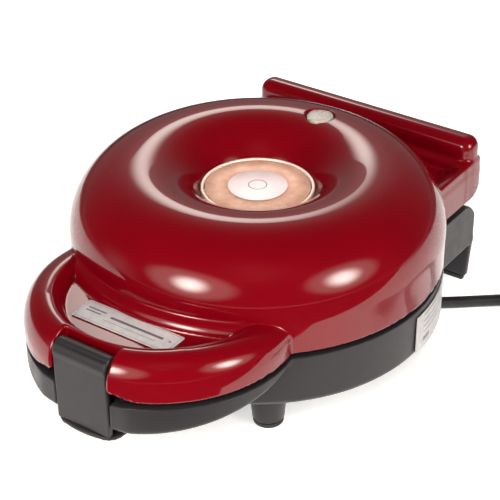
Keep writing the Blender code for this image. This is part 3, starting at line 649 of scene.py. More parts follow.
def prism(name, outline, z0, z1, bevel):
    """An (x, y) outline between two heights, with its top and bottom edges rounded."""
    bm = bmesh.new()
    levels = [(z0, bevel), (z0 + bevel * 0.3, bevel * 0.3), (z0 + bevel, 0.0)]
    levels += [(z1 - bevel, 0.0), (z1 - bevel * 0.3, bevel * 0.3), (z1, bevel)]
    n = len(outline)
    pts = [Vector(p) for p in outline]
    area = sum(pts[k - 1].x * pts[k].y - pts[k].x * pts[k - 1].y for k in range(n))
    rings = []
    for z, inset in levels:
        ring = []
        for k in range(n):
            along = (pts[(k + 1) % n] - pts[k - 1]).normalized()
            inward = Vector((-along.y, along.x)) * (1 if area > 0 else -1)
            ring.append(bm.verts.new(Vector((*(pts[k] + inward * inset), z)) * MM))
        rings.append(ring)
    for ring, after in zip(rings, rings[1:]):
        for k in range(n):
            bm.faces.new([ring[k], ring[(k + 1) % n], after[(k + 1) % n], after[k]])
    bm.faces.new(rings[0])
    bm.faces.new(rings[-1])
    return finished(name, bm)


def curve_piece(name, points, radius, material, body, replaced):
    """A round tube along the points, smooth along its length."""
    curve = bpy.data.curves.new(name, "CURVE")
    curve.dimensions = "3D"
    curve.bevel_depth = radius * MM
    curve.bevel_resolution = 6
    curve.use_fill_caps = True
    spline = curve.splines.new("POLY")
    spline.points.add(len(points) - 1)
    for point, co in zip(spline.points, points):
        point.co = (*(Vector(co) * MM), 1.0)
    spline.use_smooth = True
    curve.materials.append(material)
    return declare(placed(name, curve), body, replaced)


def smooth_route(knots, spacing):
    """Points on a smooth curve through the knots."""
    knots = [Vector(p) for p in knots]
    line = [knots[0]]
    for k in range(len(knots) - 1):
        before, after = knots[max(k - 1, 0)], knots[min(k + 2, len(knots) - 1)]
        a, b = knots[k], knots[k + 1]
        steps = max(1, round((b - a).length / spacing))
        for s in range(1, steps + 1):
            t = s / steps
            line.append(
                a * (2 * t**3 - 3 * t**2 + 1)
                + (b - before) / 2 * (t**3 - 2 * t**2 + t)
                + b * (3 * t**2 - 2 * t**3)
                + (after - a) / 2 * (t**3 - t**2)
            )
    return line


# ---------------------------------------------------------------- fields of the moulded pieces



def dome(x, y, z):
    """The lid's round body: a crest around a dimple, over a round skirt."""
    r = np.hypot(x, y - PLATE_Y)
    outer = egg(r - CREST_R, z - SHOULDER_Z, BODY_R - CREST_R, CREST_Z - SHOULDER_Z)
    rise = (BADGE_Z - DIMPLE_CURVE_Z) / (CREST_Z - DIMPLE_CURVE_Z)
    reach = (CREST_R - DIMPLE_R) / math.sqrt(1 - rise * rise)
    inner = egg(CREST_R - r, z - DIMPLE_CURVE_Z, reach, CREST_Z - DIMPLE_CURVE_Z)
    floor = np.maximum(z - BADGE_POCKET_Z, r - CREST_R)
    return join(np.maximum(outer, inner), floor, 0.8)


def rim_share(y):
    """How much of the lobe rim's full height is left at y: it falls towards the round body."""
    return 1 - 0.56 * np.maximum(0, (y - LOBE_Y) / LOBE_R + 0.55)


def lid_lobe(x, y, z):
    """The front lobe: a flat floor inside a raised, rounded rim."""
    r = np.hypot(x, y - LOBE_Y)
    up = z - LOBE_FLOOR_Z
    lifted = LOBE_FLOOR_Z + np.where(up > 0, up / np.clip(rim_share(y), 0.25, 1), up)
    outer = egg(r - RIM_R, lifted - RIM_EDGE_Z, LOBE_R - RIM_R, RIM_Z - RIM_EDGE_Z)
    inner = egg(RIM_R - r, lifted - LOBE_FLOOR_Z, RIM_R - RIM_INNER_R, RIM_Z - LOBE_FLOOR_Z)
    floor = np.maximum(z - LOBE_FLOOR_Z, r - RIM_R)
    return join(np.maximum(outer, inner), floor, 1.0)


def dome_step(x, y, z):
    """A low step round the foot of the dome, inside the lobe's recess."""
    r = np.hypot(x, y - PLATE_Y)
    inside_rim = np.hypot(x, y - LOBE_Y) - RIM_R + 5
    step = egg(r - (BODY_R - 1.5), z - LOBE_FLOOR_Z + 1, 7.0, 8.0)
    return meet(step, inside_rim, 3.0)


def wing(x, y, z):
    """The rear wing: a flat floor between two side rims, with a raised bar along the back."""
    side = np.abs(x)
    body = block(x, y, z, -WING_HALF, WING_HALF, PLATE_Y + 20, REAR_Y, LID_EDGE - 20, WING_FLOOR_Z, 3.5)
    inward = np.maximum(WING_HALF - 1.8 - side, 0) / (SIDE_RIM_W + 0.8)
    crown = z - SIDE_RIM_Z + (SIDE_RIM_Z - WING_FLOOR_Z) * inward * inward
    rims = meet(slab(x, y, -WING_HALF, WING_HALF, PLATE_Y + 20, REAR_Y, 4.2), crown * 0.9, 2.0)
    bar = block(x, y, z, -WING_HALF, WING_HALF, BAR_FRONT_Y - 1.5, REAR_Y, 40, BAR_Z, 7.0)
    ledge = block(x, y, z, -WING_HALF, WING_HALF, BAR_FOOT_Y - 1, REAR_Y, 40, WING_FLOOR_Z + 5.6, 2.8)
    solid = join(join(body, rims, 2.2), join(bar, ledge, 2.5), 2.2)
    bend_y, bend_z = y - UNDERCUT_Y, z - LID_EDGE
    reach = REAR_Y - UNDERCUT_Y
    under = egg(bend_y, UNDERCUT_RISE - bend_z, reach, UNDERCUT_RISE)
    return meet(solid, np.where(bend_z < UNDERCUT_RISE, under, -50.0), 0.6)


def lid_edge(x, y):
    """Height of the lid's lower edge: raised a little beside the latch."""
    return LID_EDGE + 3.6 * (1 - ease((np.abs(x) - 17) / 17)) * (y < LOBE_Y)


def lid_outside(x, y, z):
    """The lid's outer skin, before its notch, hollow and bores."""
    body = join(dome(x, y, z), lid_lobe(x, y, z), 1.4)
    body = join(body, dome_step(x, y, z), 1.6)
    return join(body, wing(x, y, z), 2.0)


def lug(x, y, z, pairs, root_z):
    """Hinge lugs: plates with a round end on the hinge axis, drawn out to root_z."""
    v, w = y - HINGE_Y, z - HINGE_Z
    up = 1 if root_z > HINGE_Z else -1
    eye = np.hypot(v, w) - LUG_R
    stem = np.maximum(np.abs(v) - LUG_R, np.maximum(-w * up, w * up - abs(root_z - HINGE_Z)))
    bore = np.hypot(v, w) - HINGE_BORE_R
    plate = None
    for x0, x1 in pairs:
        across = np.abs(np.abs(x) - (x0 + x1) / 2) - (x1 - x0) / 2
        plate = across if plate is None else np.minimum(plate, across)
    return np.maximum(meet(np.minimum(eye, stem), plate, 0.6), -bore)


def lid_field(x, y, z):
    """The lid shell: hollow below, notched for the latch, with a lamp well and hinge lugs."""
    outside = lid_outside(x, y, z)
    notch = slab(x, y, -NOTCH_SIDE, NOTCH_SIDE, LOBE_Y - LOBE_R - 9, NOTCH_BACK_Y, 1.0)
    past_lamp = np.hypot(x, y - LAMP_Y) - LAMP_R
    hole = past_lamp - 0.6
    countersink = np.maximum(hole - (z - CREST_Z) - 0.5, CREST_Z - 3 - z)
    well = join(np.maximum(hole, CREST_Z - 8 - z), countersink, 0.3)
    solid = carve(outside, notch, 1.8)
    inner = np.maximum(solid + LID_WALL, z - (BADGE_POCKET_Z - LID_WALL))
    hollow = np.where(np.hypot(x, y - PLATE_Y) < DIMPLE_R + 4, inner, solid + LID_WALL)
    shell = carve(solid, hollow, 0.5)
    sleeve = np.maximum(past_lamp - 3.0, np.maximum(solid, CREST_Z - 10.5 - z))
    shell = np.minimum(shell, sleeve)
    edge = lid_edge(x, y) - z
    shell = meet(shell, edge, 0.7)
    shell = join(shell, lug(x, y, z, LID_LUGS, WING_FLOOR_Z - 1), 0.8)
    shell = carve(shell, well, 0.5)
    pin_bore = np.hypot(y - LATCH_Y, z - LATCH_Z) - LATCH_BORE_R
    pin_bore = np.maximum(pin_bore, np.abs(x) - NOTCH_HALF - 3.3)
    return np.maximum(shell, -pin_bore)


def lobe_low(y):
    """Height of the base lobe's underside at y: it rises towards the drum."""
    front = LOBE_Y - LOBE_R
    return LOBE_LOW_FRONT + (LOBE_LOW_BACK - LOBE_LOW_FRONT) * (y - front) / (PLATE_Y - 96.7 - front)


def base_outside(x, y, z):
    """The base's outer skin: a drum, a front lobe and a square rear block with a bowed chamfer."""
    r = np.hypot(x, y - PLATE_Y)
    draft = 0.7 * (BASE_TOP - z) / (BASE_TOP - BASE_BOTTOM)
    drum = egg(r - (BASE_R - 6) + draft, BASE_BOTTOM + 5 - z, 6.0, 5.0)
    drum = np.maximum(drum, z - BASE_TOP)
    rl = np.hypot(x, y - LOBE_Y)
    flat = 1.6 * (1 - ease((np.abs(x) - 17) / 12)) * (y < LOBE_Y)
    rounded_low = egg(rl - (LOBE_R - 6.4) + flat, lobe_low(y) + 4.5 - z, 6.0, 4.5)
    lobe = np.maximum(rounded_low, z - BASE_TOP)
    rear = block(x, y, z, -WING_HALF, WING_HALF, PLATE_Y + 20, REAR_WALL_Y, BASE_BOTTOM, BASE_TOP + 8, 2.4)
    run, rise = REAR_WALL_Y - CHAMFER_Y, BASE_TOP - CHAMFER_LOW
    size = math.hypot(run, rise)
    cut = ((y - CHAMFER_Y) * rise + (z - BASE_TOP) * run) / size
    bow = 1.6 * np.sin(np.clip((y - CHAMFER_Y) / run, 0, 1) * math.pi)
    rear = meet(rear, cut - bow, 1.5)
    rear = np.maximum(rear, z - BASE_TOP)
    return join(join(drum, lobe, 1.6), rear, 1.5)


def base_field(x, y, z):
    """The base shell, open above and below, with its hinge bay, legs, posts, catch and lugs."""
    outside = base_outside(x, y, z)
    recess = slab(x, y, -NOTCH_SIDE, NOTCH_SIDE, LOBE_Y - LOBE_R - 9, RECESS_BACK_Y, 1.0)
    solid = carve(outside, recess, 0.9)
    hollow = solid + WALL
    shell = carve(solid, hollow, 0.5)
    top = BASE_TOP - 1.5 * (1 - ease((np.abs(x) - 17) / 17)) * (y < LOBE_Y)
    shell = meet(shell, z - top, 0.9)
    bay_back, bay_low = REAR_WALL_Y - WALL, BASE_BOTTOM + WALL
    bay = block(x, y, z, -BAY_HALF, BAY_HALF, BAR_FOOT_Y, bay_back, bay_low, BASE_TOP + 30, 1.5)
    bay_walls = np.maximum(bay - 1.6, solid)
    bay_walls = np.maximum(bay_walls, z - BASE_TOP + 2.0)
    shell = np.minimum(shell, bay_walls)
    shell = carve(shell, bay, 0.6)
    shell = np.maximum(shell, -np.maximum(np.hypot(x, y - PLATE_Y) - 62, z - BASE_BOTTOM - 5))
    side = np.abs(x)
    # Rear legs: the rear wall runs down to a foot at each corner.
    draft = (BASE_BOTTOM + 6 - z) * 0.06
    leg = slab(side + draft, y + draft / 2, BAY_HALF - 8, WING_HALF, REAR_WALL_Y - 5.0, REAR_WALL_Y, 1.6)
    leg = meet(leg, np.maximum(FOOT_PAD - z, z - BASE_BOTTOM - 6), 1.0)
    shell = join(shell, leg, 0.8)
    # Front posts: a taper with a rib towards the middle of the base.
    px, py = FRONT_FOOT
    post_r = 8.7 + (z - FOOT_PAD) * 0.09
    post = np.maximum(np.hypot(side - px, y - py) - post_r, np.maximum(FOOT_PAD - z, z - BASE_BOTTOM - 2))
    rib = np.maximum(np.abs(y - py) - 1.6, np.maximum(px - 24 + (BASE_BOTTOM - z) * 1.2 - side, side - px))
    rib = np.maximum(rib, np.maximum(z - BASE_BOTTOM - 2, FOOT_PAD + 4 - z))
    post = join(post, rib, 1.5)
    shell = join(shell, meet(post, FOOT_PAD - z, 1.0), 2.0)
    # Catch lip and the rib that the latch snaps past.
    lip = meet(np.hypot(x, y - LOBE_Y) - LOBE_R + 2.4, side - 19.5, 8.0)
    lip = np.maximum(meet(lip, np.abs(z - (LATCH_LOW_Z - 1.4)) - 1.1, 0.8), y - (LOBE_Y - 56))
    web = block(x, y, z, -17, 17, RECESS_BACK_Y, LOBE_Y - 58, LATCH_LOW_Z - 1.5, LATCH_LOW_Z + 8, 0.6)
    shell = join(shell, np.minimum(lip, web), 0.8)
    catch = np.maximum(np.hypot(y - (RECESS_BACK_Y + 0.6), (z - 43.2) * 0.75) - 1.9, side - 12)
    shell = join(shell, catch, 0.6)
    shell = join(shell, lug(x, y, z, BASE_LUGS, BASE_BOTTOM + 1), 0.8)
    return shell


def latch_field(x, y, z):
    """A flat face hung from a roll with one fine groove, with a bead inside its foot."""
    lean = (LATCH_Z - z) * 0.5 / (LATCH_Z - LATCH_LOW_Z)
    front = LATCH_Y - LATCH_BARREL_R + 0.3 + np.clip(lean, 0, 2)
    roll = np.hypot(y - LATCH_Y, z - LATCH_Z) - LATCH_BARREL_R + 0.1
    groove = np.hypot(y - LATCH_Y + 3.4, z - LATCH_Z - 5.6) - 0.8
    roll = carve(roll, groove, 0.8)
    face = np.maximum(front - y, y - front - LATCH_THICK)
    face = np.maximum(face, np.maximum(LATCH_LOW_Z - z, z - LATCH_Z - 1))
    bead = np.hypot(y - front - LATCH_THICK - 0.2, (z - LATCH_LOW_Z - 4.8) * 0.8) - 1.3
    solid = join(join(roll, face, 0.6), bead, 0.8)
    solid = meet(solid, LATCH_LOW_Z - z, 0.8)
    solid = meet(solid, np.abs(x) - LATCH_HALF, 1.1)
    bore = np.hypot(y - LATCH_Y, z - LATCH_Z) - LATCH_BORE_R
    return np.maximum(solid, -bore)


def plate_field(face_z, sign):
    """A cast plate with ring-shaped hollows, its edges rounded. sign is the way from its face to its back."""
    centres = [(0.0, PLATE_Y)]
    for k in range(6):
        a = math.tau * k / 6
        centres.append((RING_CIRCLE_R * math.cos(a), PLATE_Y + RING_CIRCLE_R * math.sin(a)))

    def field(x, y, z):
        depth = (z - face_z) * sign
        r = np.hypot(x, y - PLATE_Y)
        flange = meet(r - FLANGE_R, np.abs(depth - FLANGE_HALF) - FLANGE_HALF, 0.6)
        body = meet(r - PLATE_R, np.maximum(-depth, depth - PLATE_DEPTH), 1.0)
        solid = join(flange, body, 0.8)
        groove = None
        for cx, cy in centres:
            off_ring = np.hypot(x - cx, y - cy) - RING_R
            bowl = np.hypot(off_ring / RING_HALF_WIDTH, depth / RING_DEPTH)
            bowl = (bowl - 1) * RING_HALF_WIDTH
            groove = bowl if groove is None else np.minimum(groove, bowl)
        return carve(solid, groove, 1.2)

    return field


# ---------------------------------------------------------------- camera, light and floor


def make_camera():
    """The photograph's view: level but for a slight roll, from the front right and above."""
    data = bpy.data.cameras.new("camera")
    data.sensor_width = 36.0
    data.lens = 115.2
    data.clip_start = 0.05
    camera = placed("camera", data)
    back = Vector((0.4830, -0.6947, 0.5330)).normalized()
    level = Vector((0.8210, 0.5709, 0.0)).normalized()
    right = Matrix.Rotation(-0.0069, 3, back) @ level
    up = back.cross(right)
    spot = Vector((429.7, -607.8, 535.8)) * MM
    camera.matrix_world = Matrix.Translation(spot) @ Matrix((right, up, back)).transposed().to_4x4()
    bpy.context.scene.camera = camera


AWAY = Vector((-0.571, 0.821, 0.0)).normalized()
ACROSS = Vector((0.821, 0.571, 0.0)).normalized()


def toward(turn, rise):
    """A direction from its turn, clockwise from straight behind the object, and its rise, in degrees."""
    a, e = math.radians(turn), math.radians(rise)
    return (AWAY * math.cos(a) + ACROSS * math.sin(a)) * math.cos(e) + Vector((0, 0, math.sin(e)))


def fall(tree, value, start, end, level, curve):
    """Falls from level to 0 as value goes from start to end."""
    shape = {"interpolation_type": curve}
    ends = {"From_Min": start, "From_Max": end, "To_Min": level, "To_Max": 0.0}
    return node(tree, "ShaderNodeMapRange", shape, Value=value, **ends).outputs["Result"]


def softbox(name, turn, rise, distance, size, level, core, reach):
    """A diffused panel facing the object: a dim face that fades out at its edges, round a bright core."""
    data = bpy.data.lights.new(name, "AREA")
    data.shape = "RECTANGLE"
    data.size, data.size_y = size
    data.energy = math.pi * size[0] * size[1]
    data.color = (1.0, 0.94, 0.86)
    data.use_nodes = True
    tree = data.node_tree
    face = node(tree, "ShaderNodeNewGeometry")
    offset = vector_calc(tree, "SUBTRACT", face.outputs["Parametric"], (0.5, 0.5, 0.0))
    radius = vector_calc(tree, "LENGTH", vector_calc(tree, "MULTIPLY", offset, (*size, 0.0)))
    bright = fall(tree, radius, 0.0, reach, core, "SMOOTHERSTEP")
    dim = fall(tree, vector_calc(tree, "LENGTH", offset), 0.3, 0.5, level, "SMOOTHSTEP")
    feed(tree, tree.nodes["Emission"].inputs["Strength"], calc(tree, "ADD", bright, dim))
    light = placed(name, data)
    light.location = toward(turn, rise) * distance + Vector((0, 0, 0.08))
    light.rotation_euler = (-toward(turn, rise)).to_track_quat("-Z", "Y").to_euler()
    light.visible_camera = False
    return light


def make_world():
    """A dark studio with soft glows: high and low behind the object, and one to its left."""
    world = bpy.data.worlds.new("studio")
    world.use_nodes = True
    tree = world.node_tree
    background = tree.nodes["Background"]
    coords = node(tree, "ShaderNodeTexCoord")
    glows = [
        (toward(0, 34), 24.0, 0.4),
        (toward(0, 10), 3.5, 0.22),
        (toward(-92, 4), 60.0, 0.5),
    ]
    total = 0.03
    for spot, sharpness, strength in glows:
        along = vector_calc(tree, "DOT_PRODUCT", coords.outputs["Generated"], spot)
        lobe = calc(tree, "POWER", calc(tree, "MAXIMUM", along, 0.0), sharpness)
        total = calc(tree, "MULTIPLY_ADD", lobe, strength, total)
    feed(tree, background.inputs["Strength"], total)
    background.inputs["Color"].default_value = (1.0, 0.97, 0.94, 1)
    bpy.context.scene.world = world


def make_sheet(name, corners, material):
    """A flat sheet of the stage, with its corners in metres."""
    bm = bmesh.new()
    bm.faces.new([bm.verts.new(corner) for corner in corners])
    mesh = bpy.data.meshes.new(name)
    bm.to_mesh(mesh)
    bm.free()
    mesh.materials.append(material)
    sheet = placed(name, mesh)
    return sheet


def make_floor():
    """A wide pale floor that glows a little, so that it stays near white."""
    half = 12.0
    own_light = {"Emission_Color": (1, 1, 1, 1), "Emission_Strength": 0.55, "Specular_IOR_Level": 0.0}
    material, tree, shader = shader_of("pale_floor", (0.9, 0.9, 0.9), 0.9, **own_light)
    mottle(tree, shader, noise(tree, 3, 2), (0.89, 0.89, 0.89), (0.91, 0.91, 0.91))
    sides = ((-1, -1), (1, -1), (1, 1), (-1, 1))
    make_sheet("floor", [(x * half, y * half, 0) for x, y in sides], material)


def make_card(name, near, far, grey):
    """A card on the table, seen only in gloss, from near to far metres behind the object."""
    half = 5.0
    reaches = ((-half, near), (half, near), (half, far), (-half, far))
    corners = [ACROSS * side + AWAY * reach + Vector((0, 0, 0.001)) for side, reach in reaches]
    card = make_sheet(name, corners, satin_plastic(name, (grey, grey, grey), 0.9, gloss=0.0))
    card.visible_camera = card.visible_shadow = card.visible_diffuse = False


def make_lights():
    """Three soft boxes, and a fill light from the front that gloss does not see."""
    softbox("back_box", -3, 34, 2.2, (1.3, 0.5), 0.0, 6.0, 0.55)
    softbox("left_box", -140, 22, 1.5, (1.75, 1.2), 1.7, 24.0, 0.40)
    softbox("right_box", 129, 23, 1.6, (1.5, 1.2), 1.6, 22.0, 0.42)
    fill = softbox("fill", 180, 52, 2.2, (1.4, 1.4), 13.0, 0.0, 0.5)
    fill.visible_glossy = False


# ---------------------------------------------------------------- the lead, its coil and the plug


def coil_points():
    """The wound length, clockwise in two layers of two turns, each with one step from track to track."""
    outer, inner = COIL_TURN_R
    low, high = COIL_LEVELS
    turns = 3 + COIL_START / 360
    steps = round(turns * 40)
    points = []
    for k in range(steps + 1):
        t = turns * k / steps
        inward = float(ease((t - 0.84) / 0.18) - ease((t - 2.29) / 0.16))
        r = outer + (inner - outer) * inward
        z = low + (high - low) * float(ease((t - 1.58) / 0.26))
        angle = math.radians(COIL_START) - math.tau * t
        points.append((COIL_CENTRE[0] + r * math.cos(angle), COIL_CENTRE[1] + r * math.sin(angle), z))
    return points


def make_lead():
    """The whole lead on one curve: out of the strain relief, over the floor, round the coil, to the plug."""
    jacket = cord_jacket()
    heading = Vector((*LEAD_HEADING, -math.tan(RELIEF_DIP))).normalized()
    inside = [Vector(RELIEF_START) + heading * d for d in (2, 11, 20)]
    wound = [(127.4, 144.0, 3.55)] + coil_points()
    route = inside + ROUTE_LEAD + wound + ROUTE_TAIL + [(PLUG_X, PLUG_NOSE_Y + 40, 10.0)]
    line = smooth_route(route, 3.0)
    stands_for = ("cord_lead", "cord_coil", "cord_tail")
    cord = curve_piece("mains_lead", line, CORD_R, jacket, "base", stands_for)
    extras = [make_relief()] + make_plug(jacket) + [make_tie()]
    for piece in [cord] + extras:
        piece.visible_glossy = False


def make_relief():
    """A tapered, ribbed sleeve where the lead leaves the base."""
    line = [(0, 4.9), (1.2, 5.6), (2.2, 6.2), (6.0, 6.2)]
    rib = [(0.0, -0.9), (0.5, -0.1), (1.0, 0.0), (1.8, 0.0), (2.3, -0.1), (2.6, -0.9)]
    for k in range(6):
        line += [(7.2 + 3.5 * k + along, 6.0 - 0.27 * k + out) for along, out in rib]
    line += [(28.6, 4.3), (29.6, 4.2), (30.0, 3.8)]
    profile = [(0, 0)] + [(r, d) for d, r in line] + [(0, 30.0)]
    mesh = turned("strain_relief_ribbed", profile, 40)
    turn = Matrix.Rotation(math.atan2(LEAD_HEADING[1], LEAD_HEADING[0]), 4, "Z")
    dip = Matrix.Rotation(math.pi / 2 + RELIEF_DIP, 4, "Y")
    mesh.transform(Matrix.Translation(Vector(RELIEF_START) * MM) @ turn @ dip)
    return add("strain_relief_ribbed", mesh, rubber(), "base", ("strain_relief",))


def plug_field(x, y, z):
    """A moulded plug: a broad flattened body that narrows to a ribbed neck."""
    along = y - PLUG_NOSE_Y
    half_widths = [15.0, 15.4, 16.1, 15.9, 14.6, 11.8, 8.6, 6.9, 6.1]
    half = np.interp(along, [-2, 0, 5, 12, 20, 27, 34, 40, 50], half_widths)
    thick = np.interp(along, [-2, 0, 6, 20, 30, 38, 50], [9.2, 9.4, 9.4, 9.2, 8.0, 6.6, 6.0])
    ribs = 0.5 * np.sin((along - 35) * math.tau / 4.0) * np.clip((along - 34) / 2, 0, 1)
    grip = 0.45 * np.cos((along - 13) * math.tau / 3.4) * np.clip((8 - np.abs(along - 13)) / 3, 0, 1)
    half = half + ribs - np.where(np.abs(z - PLUG_Z) < 9, 0.6 * np.maximum(grip, -0.2), 0)
    thick = thick + np.minimum(ribs, 0)
    r = np.minimum(5.5, thick - 0.4)
    body = round_corner(np.abs(x - PLUG_X) - half + r, np.abs(z - PLUG_Z) - thick + r, r)
    return meet(body * 0.93, np.maximum(-along, along - 48), 1.6)


def make_plug(jacket):
    """The plug's moulding and its three pins."""
    low, high = (PLUG_X - 20, PLUG_NOSE_Y - 1, 0), (PLUG_X + 20, PLUG_NOSE_Y + 49, 20)
    about = (jacket, "base", ("plug_body",), "cord_black")
    pieces = [moulded("plug_moulding", plug_field, low, high, 0.8, *about)]
    brass = metal("pin_brass", (0.72, 0.52, 0.22), 0.3, (30, 1, 30), 400)
    spots = {"line": (-6.5, 6.5, -0.52), "neutral": (6.5, 6.5, 0.52), "earth": (0.0, 14.6, math.pi / 2)}
    for word, (x, z, lean) in spots.items():
        outline = rounded([(-3.1, 0), (3.1, 0), (3.1, -17.2), (-3.1, -17.2)], [0.2, 0.2, 1.4, 1.4])
        mesh = prism(f"pin_{word}", outline, -0.78, 0.78, 0.25)
        root = Matrix.Translation(Vector((PLUG_X + x, PLUG_NOSE_Y - 0.3, z)) * MM)
        mesh.transform(root @ Matrix.Rotation(lean, 4, "Y"))
        pieces.append(add(f"pin_{word}", mesh, brass, "base", (f"plug_pin_{word}",)))
    return pieces


def tie_field(x, y, z):
    """A hook-and-loop band round the coil's turns, its free end lapped over the top."""
    cx = COIL_CENTRE[0]
    loop = round_corner(np.abs(y - TIE_Y) - 8.6 + 3, np.abs(z - 7.9) - 7.7 + 3, 3)
    band = np.abs(loop + 0.45) - 0.42
    lap = block(x, y, z, cx - TIE_HALF, cx + TIE_HALF, TIE_Y - 5.5, TIE_Y + 6.5, 14.8, 15.9, 0.4)
    return meet(np.minimum(band, lap), np.abs(x - cx) - TIE_HALF, 0.4)


def make_tie():
    """The band that holds the coil together."""
    cx = COIL_CENTRE[0]
    low, high = (cx - 6, TIE_Y - 10, 0), (cx + 6, TIE_Y + 10, 16.2)
    weave = satin_plastic("tie_weave", (0.02, 0.02, 0.021), 0.7, 0.0003, 1800)
    return moulded("lead_tie", tie_field, low, high, 0.42, weave, "base", ("cord_tie",), "black_plastic")


# ---------------------------------------------------------------- the appliance


def make_lid(red, black):
    """The lid's moulding and the dark rim under its edge."""
    low, high = (-BODY_R, LOBE_Y - LOBE_R, 51), (BODY_R, REAR_Y, CREST_Z)
    moulded("lid_moulding", lid_field, low, high, 1.2, red, "lid", ("lid_shell",), "red_gloss")
    low, high = (-BODY_R, LOBE_Y - LOBE_R, 57.2), (BODY_R, PLATE_Y + 88, 63.2)
    moulded("parting_rim", parting_rim_field, low, high, 0.7, black, "lid", (), "black_plastic")


def make_badge():
    """A metal ring, a copper disc and a raised pink centre in the dimple."""
    centre, z = (0, PLATE_Y), BADGE_Z
    ring = [(29.6, z), (31.3, z), (31.3, z + 1.8), (31.1, z + 2.1), (30.6, z + 2.25), (30.0, z + 2.2)]
    ring += [(29.7, z + 2.0), (29.6, z + 1.7)]
    silver = metal("badge_rim_metal", (0.94, 0.78, 0.68), 0.3, scale=700, share=0.2)
    mesh = turned("badge_rim", ring, 160, centre, 50)
    add("badge_rim", mesh, silver, "lid", ("badge_ring",))
    disc = [(0, z), (29.0, z), (29.0, z + 1.6), (28.7, z + 1.9)]
    disc += [(17.2, z + 1.9), (16.9, z + 1.75), (0, z + 1.75)]
    mesh = turned("badge_plate", disc, 160, centre, 50)
    add("badge_plate", mesh, copper_badge(), "lid", ("badge_disc",))
    middle = [(0, z + 2.2), (16.4, z + 2.2), (16.4, z + 2.45), (16.2, z + 2.6), (0, z + 2.6)]
    mesh = turned("badge_print", middle, 120, centre, 50)
    add("badge_print", mesh, pink_badge(), "lid", ("badge_centre",))


def make_lens():
    """The indicator's low domed lens on the rear crest."""
    top = CREST_Z
    edge = [(LAMP_R - 0.1, top - 1.2), (LAMP_R - 0.35, top - 0.75), (LAMP_R - 1.0, top - 0.42)]
    edge += [(LAMP_R * k / 6, top - 0.42 * (k / 6) ** 2 * 0.8) for k in (4, 3, 2, 1)]
    profile = [(0, top - 4), (LAMP_R - 0.1, top - 4)] + edge + [(0, top)]
    mesh = turned("lamp_lens", profile, 96, (0, LAMP_Y), 50)
    add("lamp_lens", mesh, lamp_lens(), "lid", ("indicator_lens",))


def make_front_label():
    """A thin foil label on the lobe's floor, with five plain bars inside a border."""
    marks = [
        ((0, -27.0, -15.5), (1, -96.6, -95.5)),
        ((0, -27.0, -17.5), (1, -99.0, -98.0)),
        ((0, -11.5, 22.0), (1, -98.7, -96.9)),
        ((0, 25.5, 27.0), (1, -98.4, -97.2)),
        ((0, -14.0, 19.0), (1, -101.6, -101.3)),
    ]
    marks += [((0, -29.4, 29.4), (1, -105.6, -105.4)), ((0, -29.4, 29.4), (1, -91.8, -91.6))]
    marks += [((0, -29.4, -29.2), (1, -105.6, -91.6)), ((0, 29.2, 29.4), (1, -105.6, -91.6))]
    front = [(-LABEL_HALF, LABEL_FRONT_Y), (LABEL_HALF, LABEL_FRONT_Y)]
    back = [(LABEL_HALF, LABEL_BACK_Y), (-LABEL_HALF, LABEL_BACK_Y)]
    outline = rounded(front + back, 1.1, 6)
    mesh = prism("front_plate", outline, LOBE_FLOOR_Z + 0.3, LOBE_FLOOR_Z + 0.8, 0.14)
    add("front_plate", mesh, label_foil("front_foil", marks), "lid", ("front_label",))


def make_plates(coat):
    """The two baking plates, face to face."""
    for word, face, sign, body in (("upper", UPPER_FACE_Z, 1, "lid"), ("lower", LOWER_FACE_Z, -1, "base")):
        back = face + PLATE_DEPTH * sign
        low = (-FLANGE_R - 0.2, PLATE_Y - FLANGE_R - 0.2, min(face, back))
        high = (FLANGE_R + 0.2, PLATE_Y + FLANGE_R + 0.2, max(face, back))
        about = (coat, body, (f"{word}_plate",), "nonstick")
        moulded(f"{word}_baking_plate", plate_field(face, sign), low, high, 1.15, *about)


def parting_rim_field(x, y, z):
    """A thin wall that hangs below the lid's edge, set back from its outline."""
    round_body = np.hypot(x, y - PLATE_Y) - BODY_R
    lobe = np.hypot(x, y - LOBE_Y) - LOBE_R
    sides = slab(x, y, -WING_HALF, WING_HALF, PLATE_Y, REAR_Y)
    outline = np.minimum(join(round_body, lobe, 3.0), sides)
    wall = np.maximum(np.abs(outline + 4.0) - 0.7, y - (PLATE_Y + 88))
    notch = slab(x, y, -NOTCH_HALF - 4, NOTCH_HALF + 4, LOBE_Y - LOBE_R - 9, LOBE_Y - 56, 1.0)
    return meet(np.maximum(wall, -notch), np.abs(z - 60.2) - 3.0, 0.4)


def make_base(satin):
    """The base's moulding."""
    low, high = (-BASE_R, LOBE_Y - LOBE_R, FOOT_PAD), (BASE_R, REAR_WALL_Y, HINGE_Z + 4.8)
    moulded("base_moulding", base_field, low, high, 1.2, satin, "base", ("base_housing",), "dark_satin")


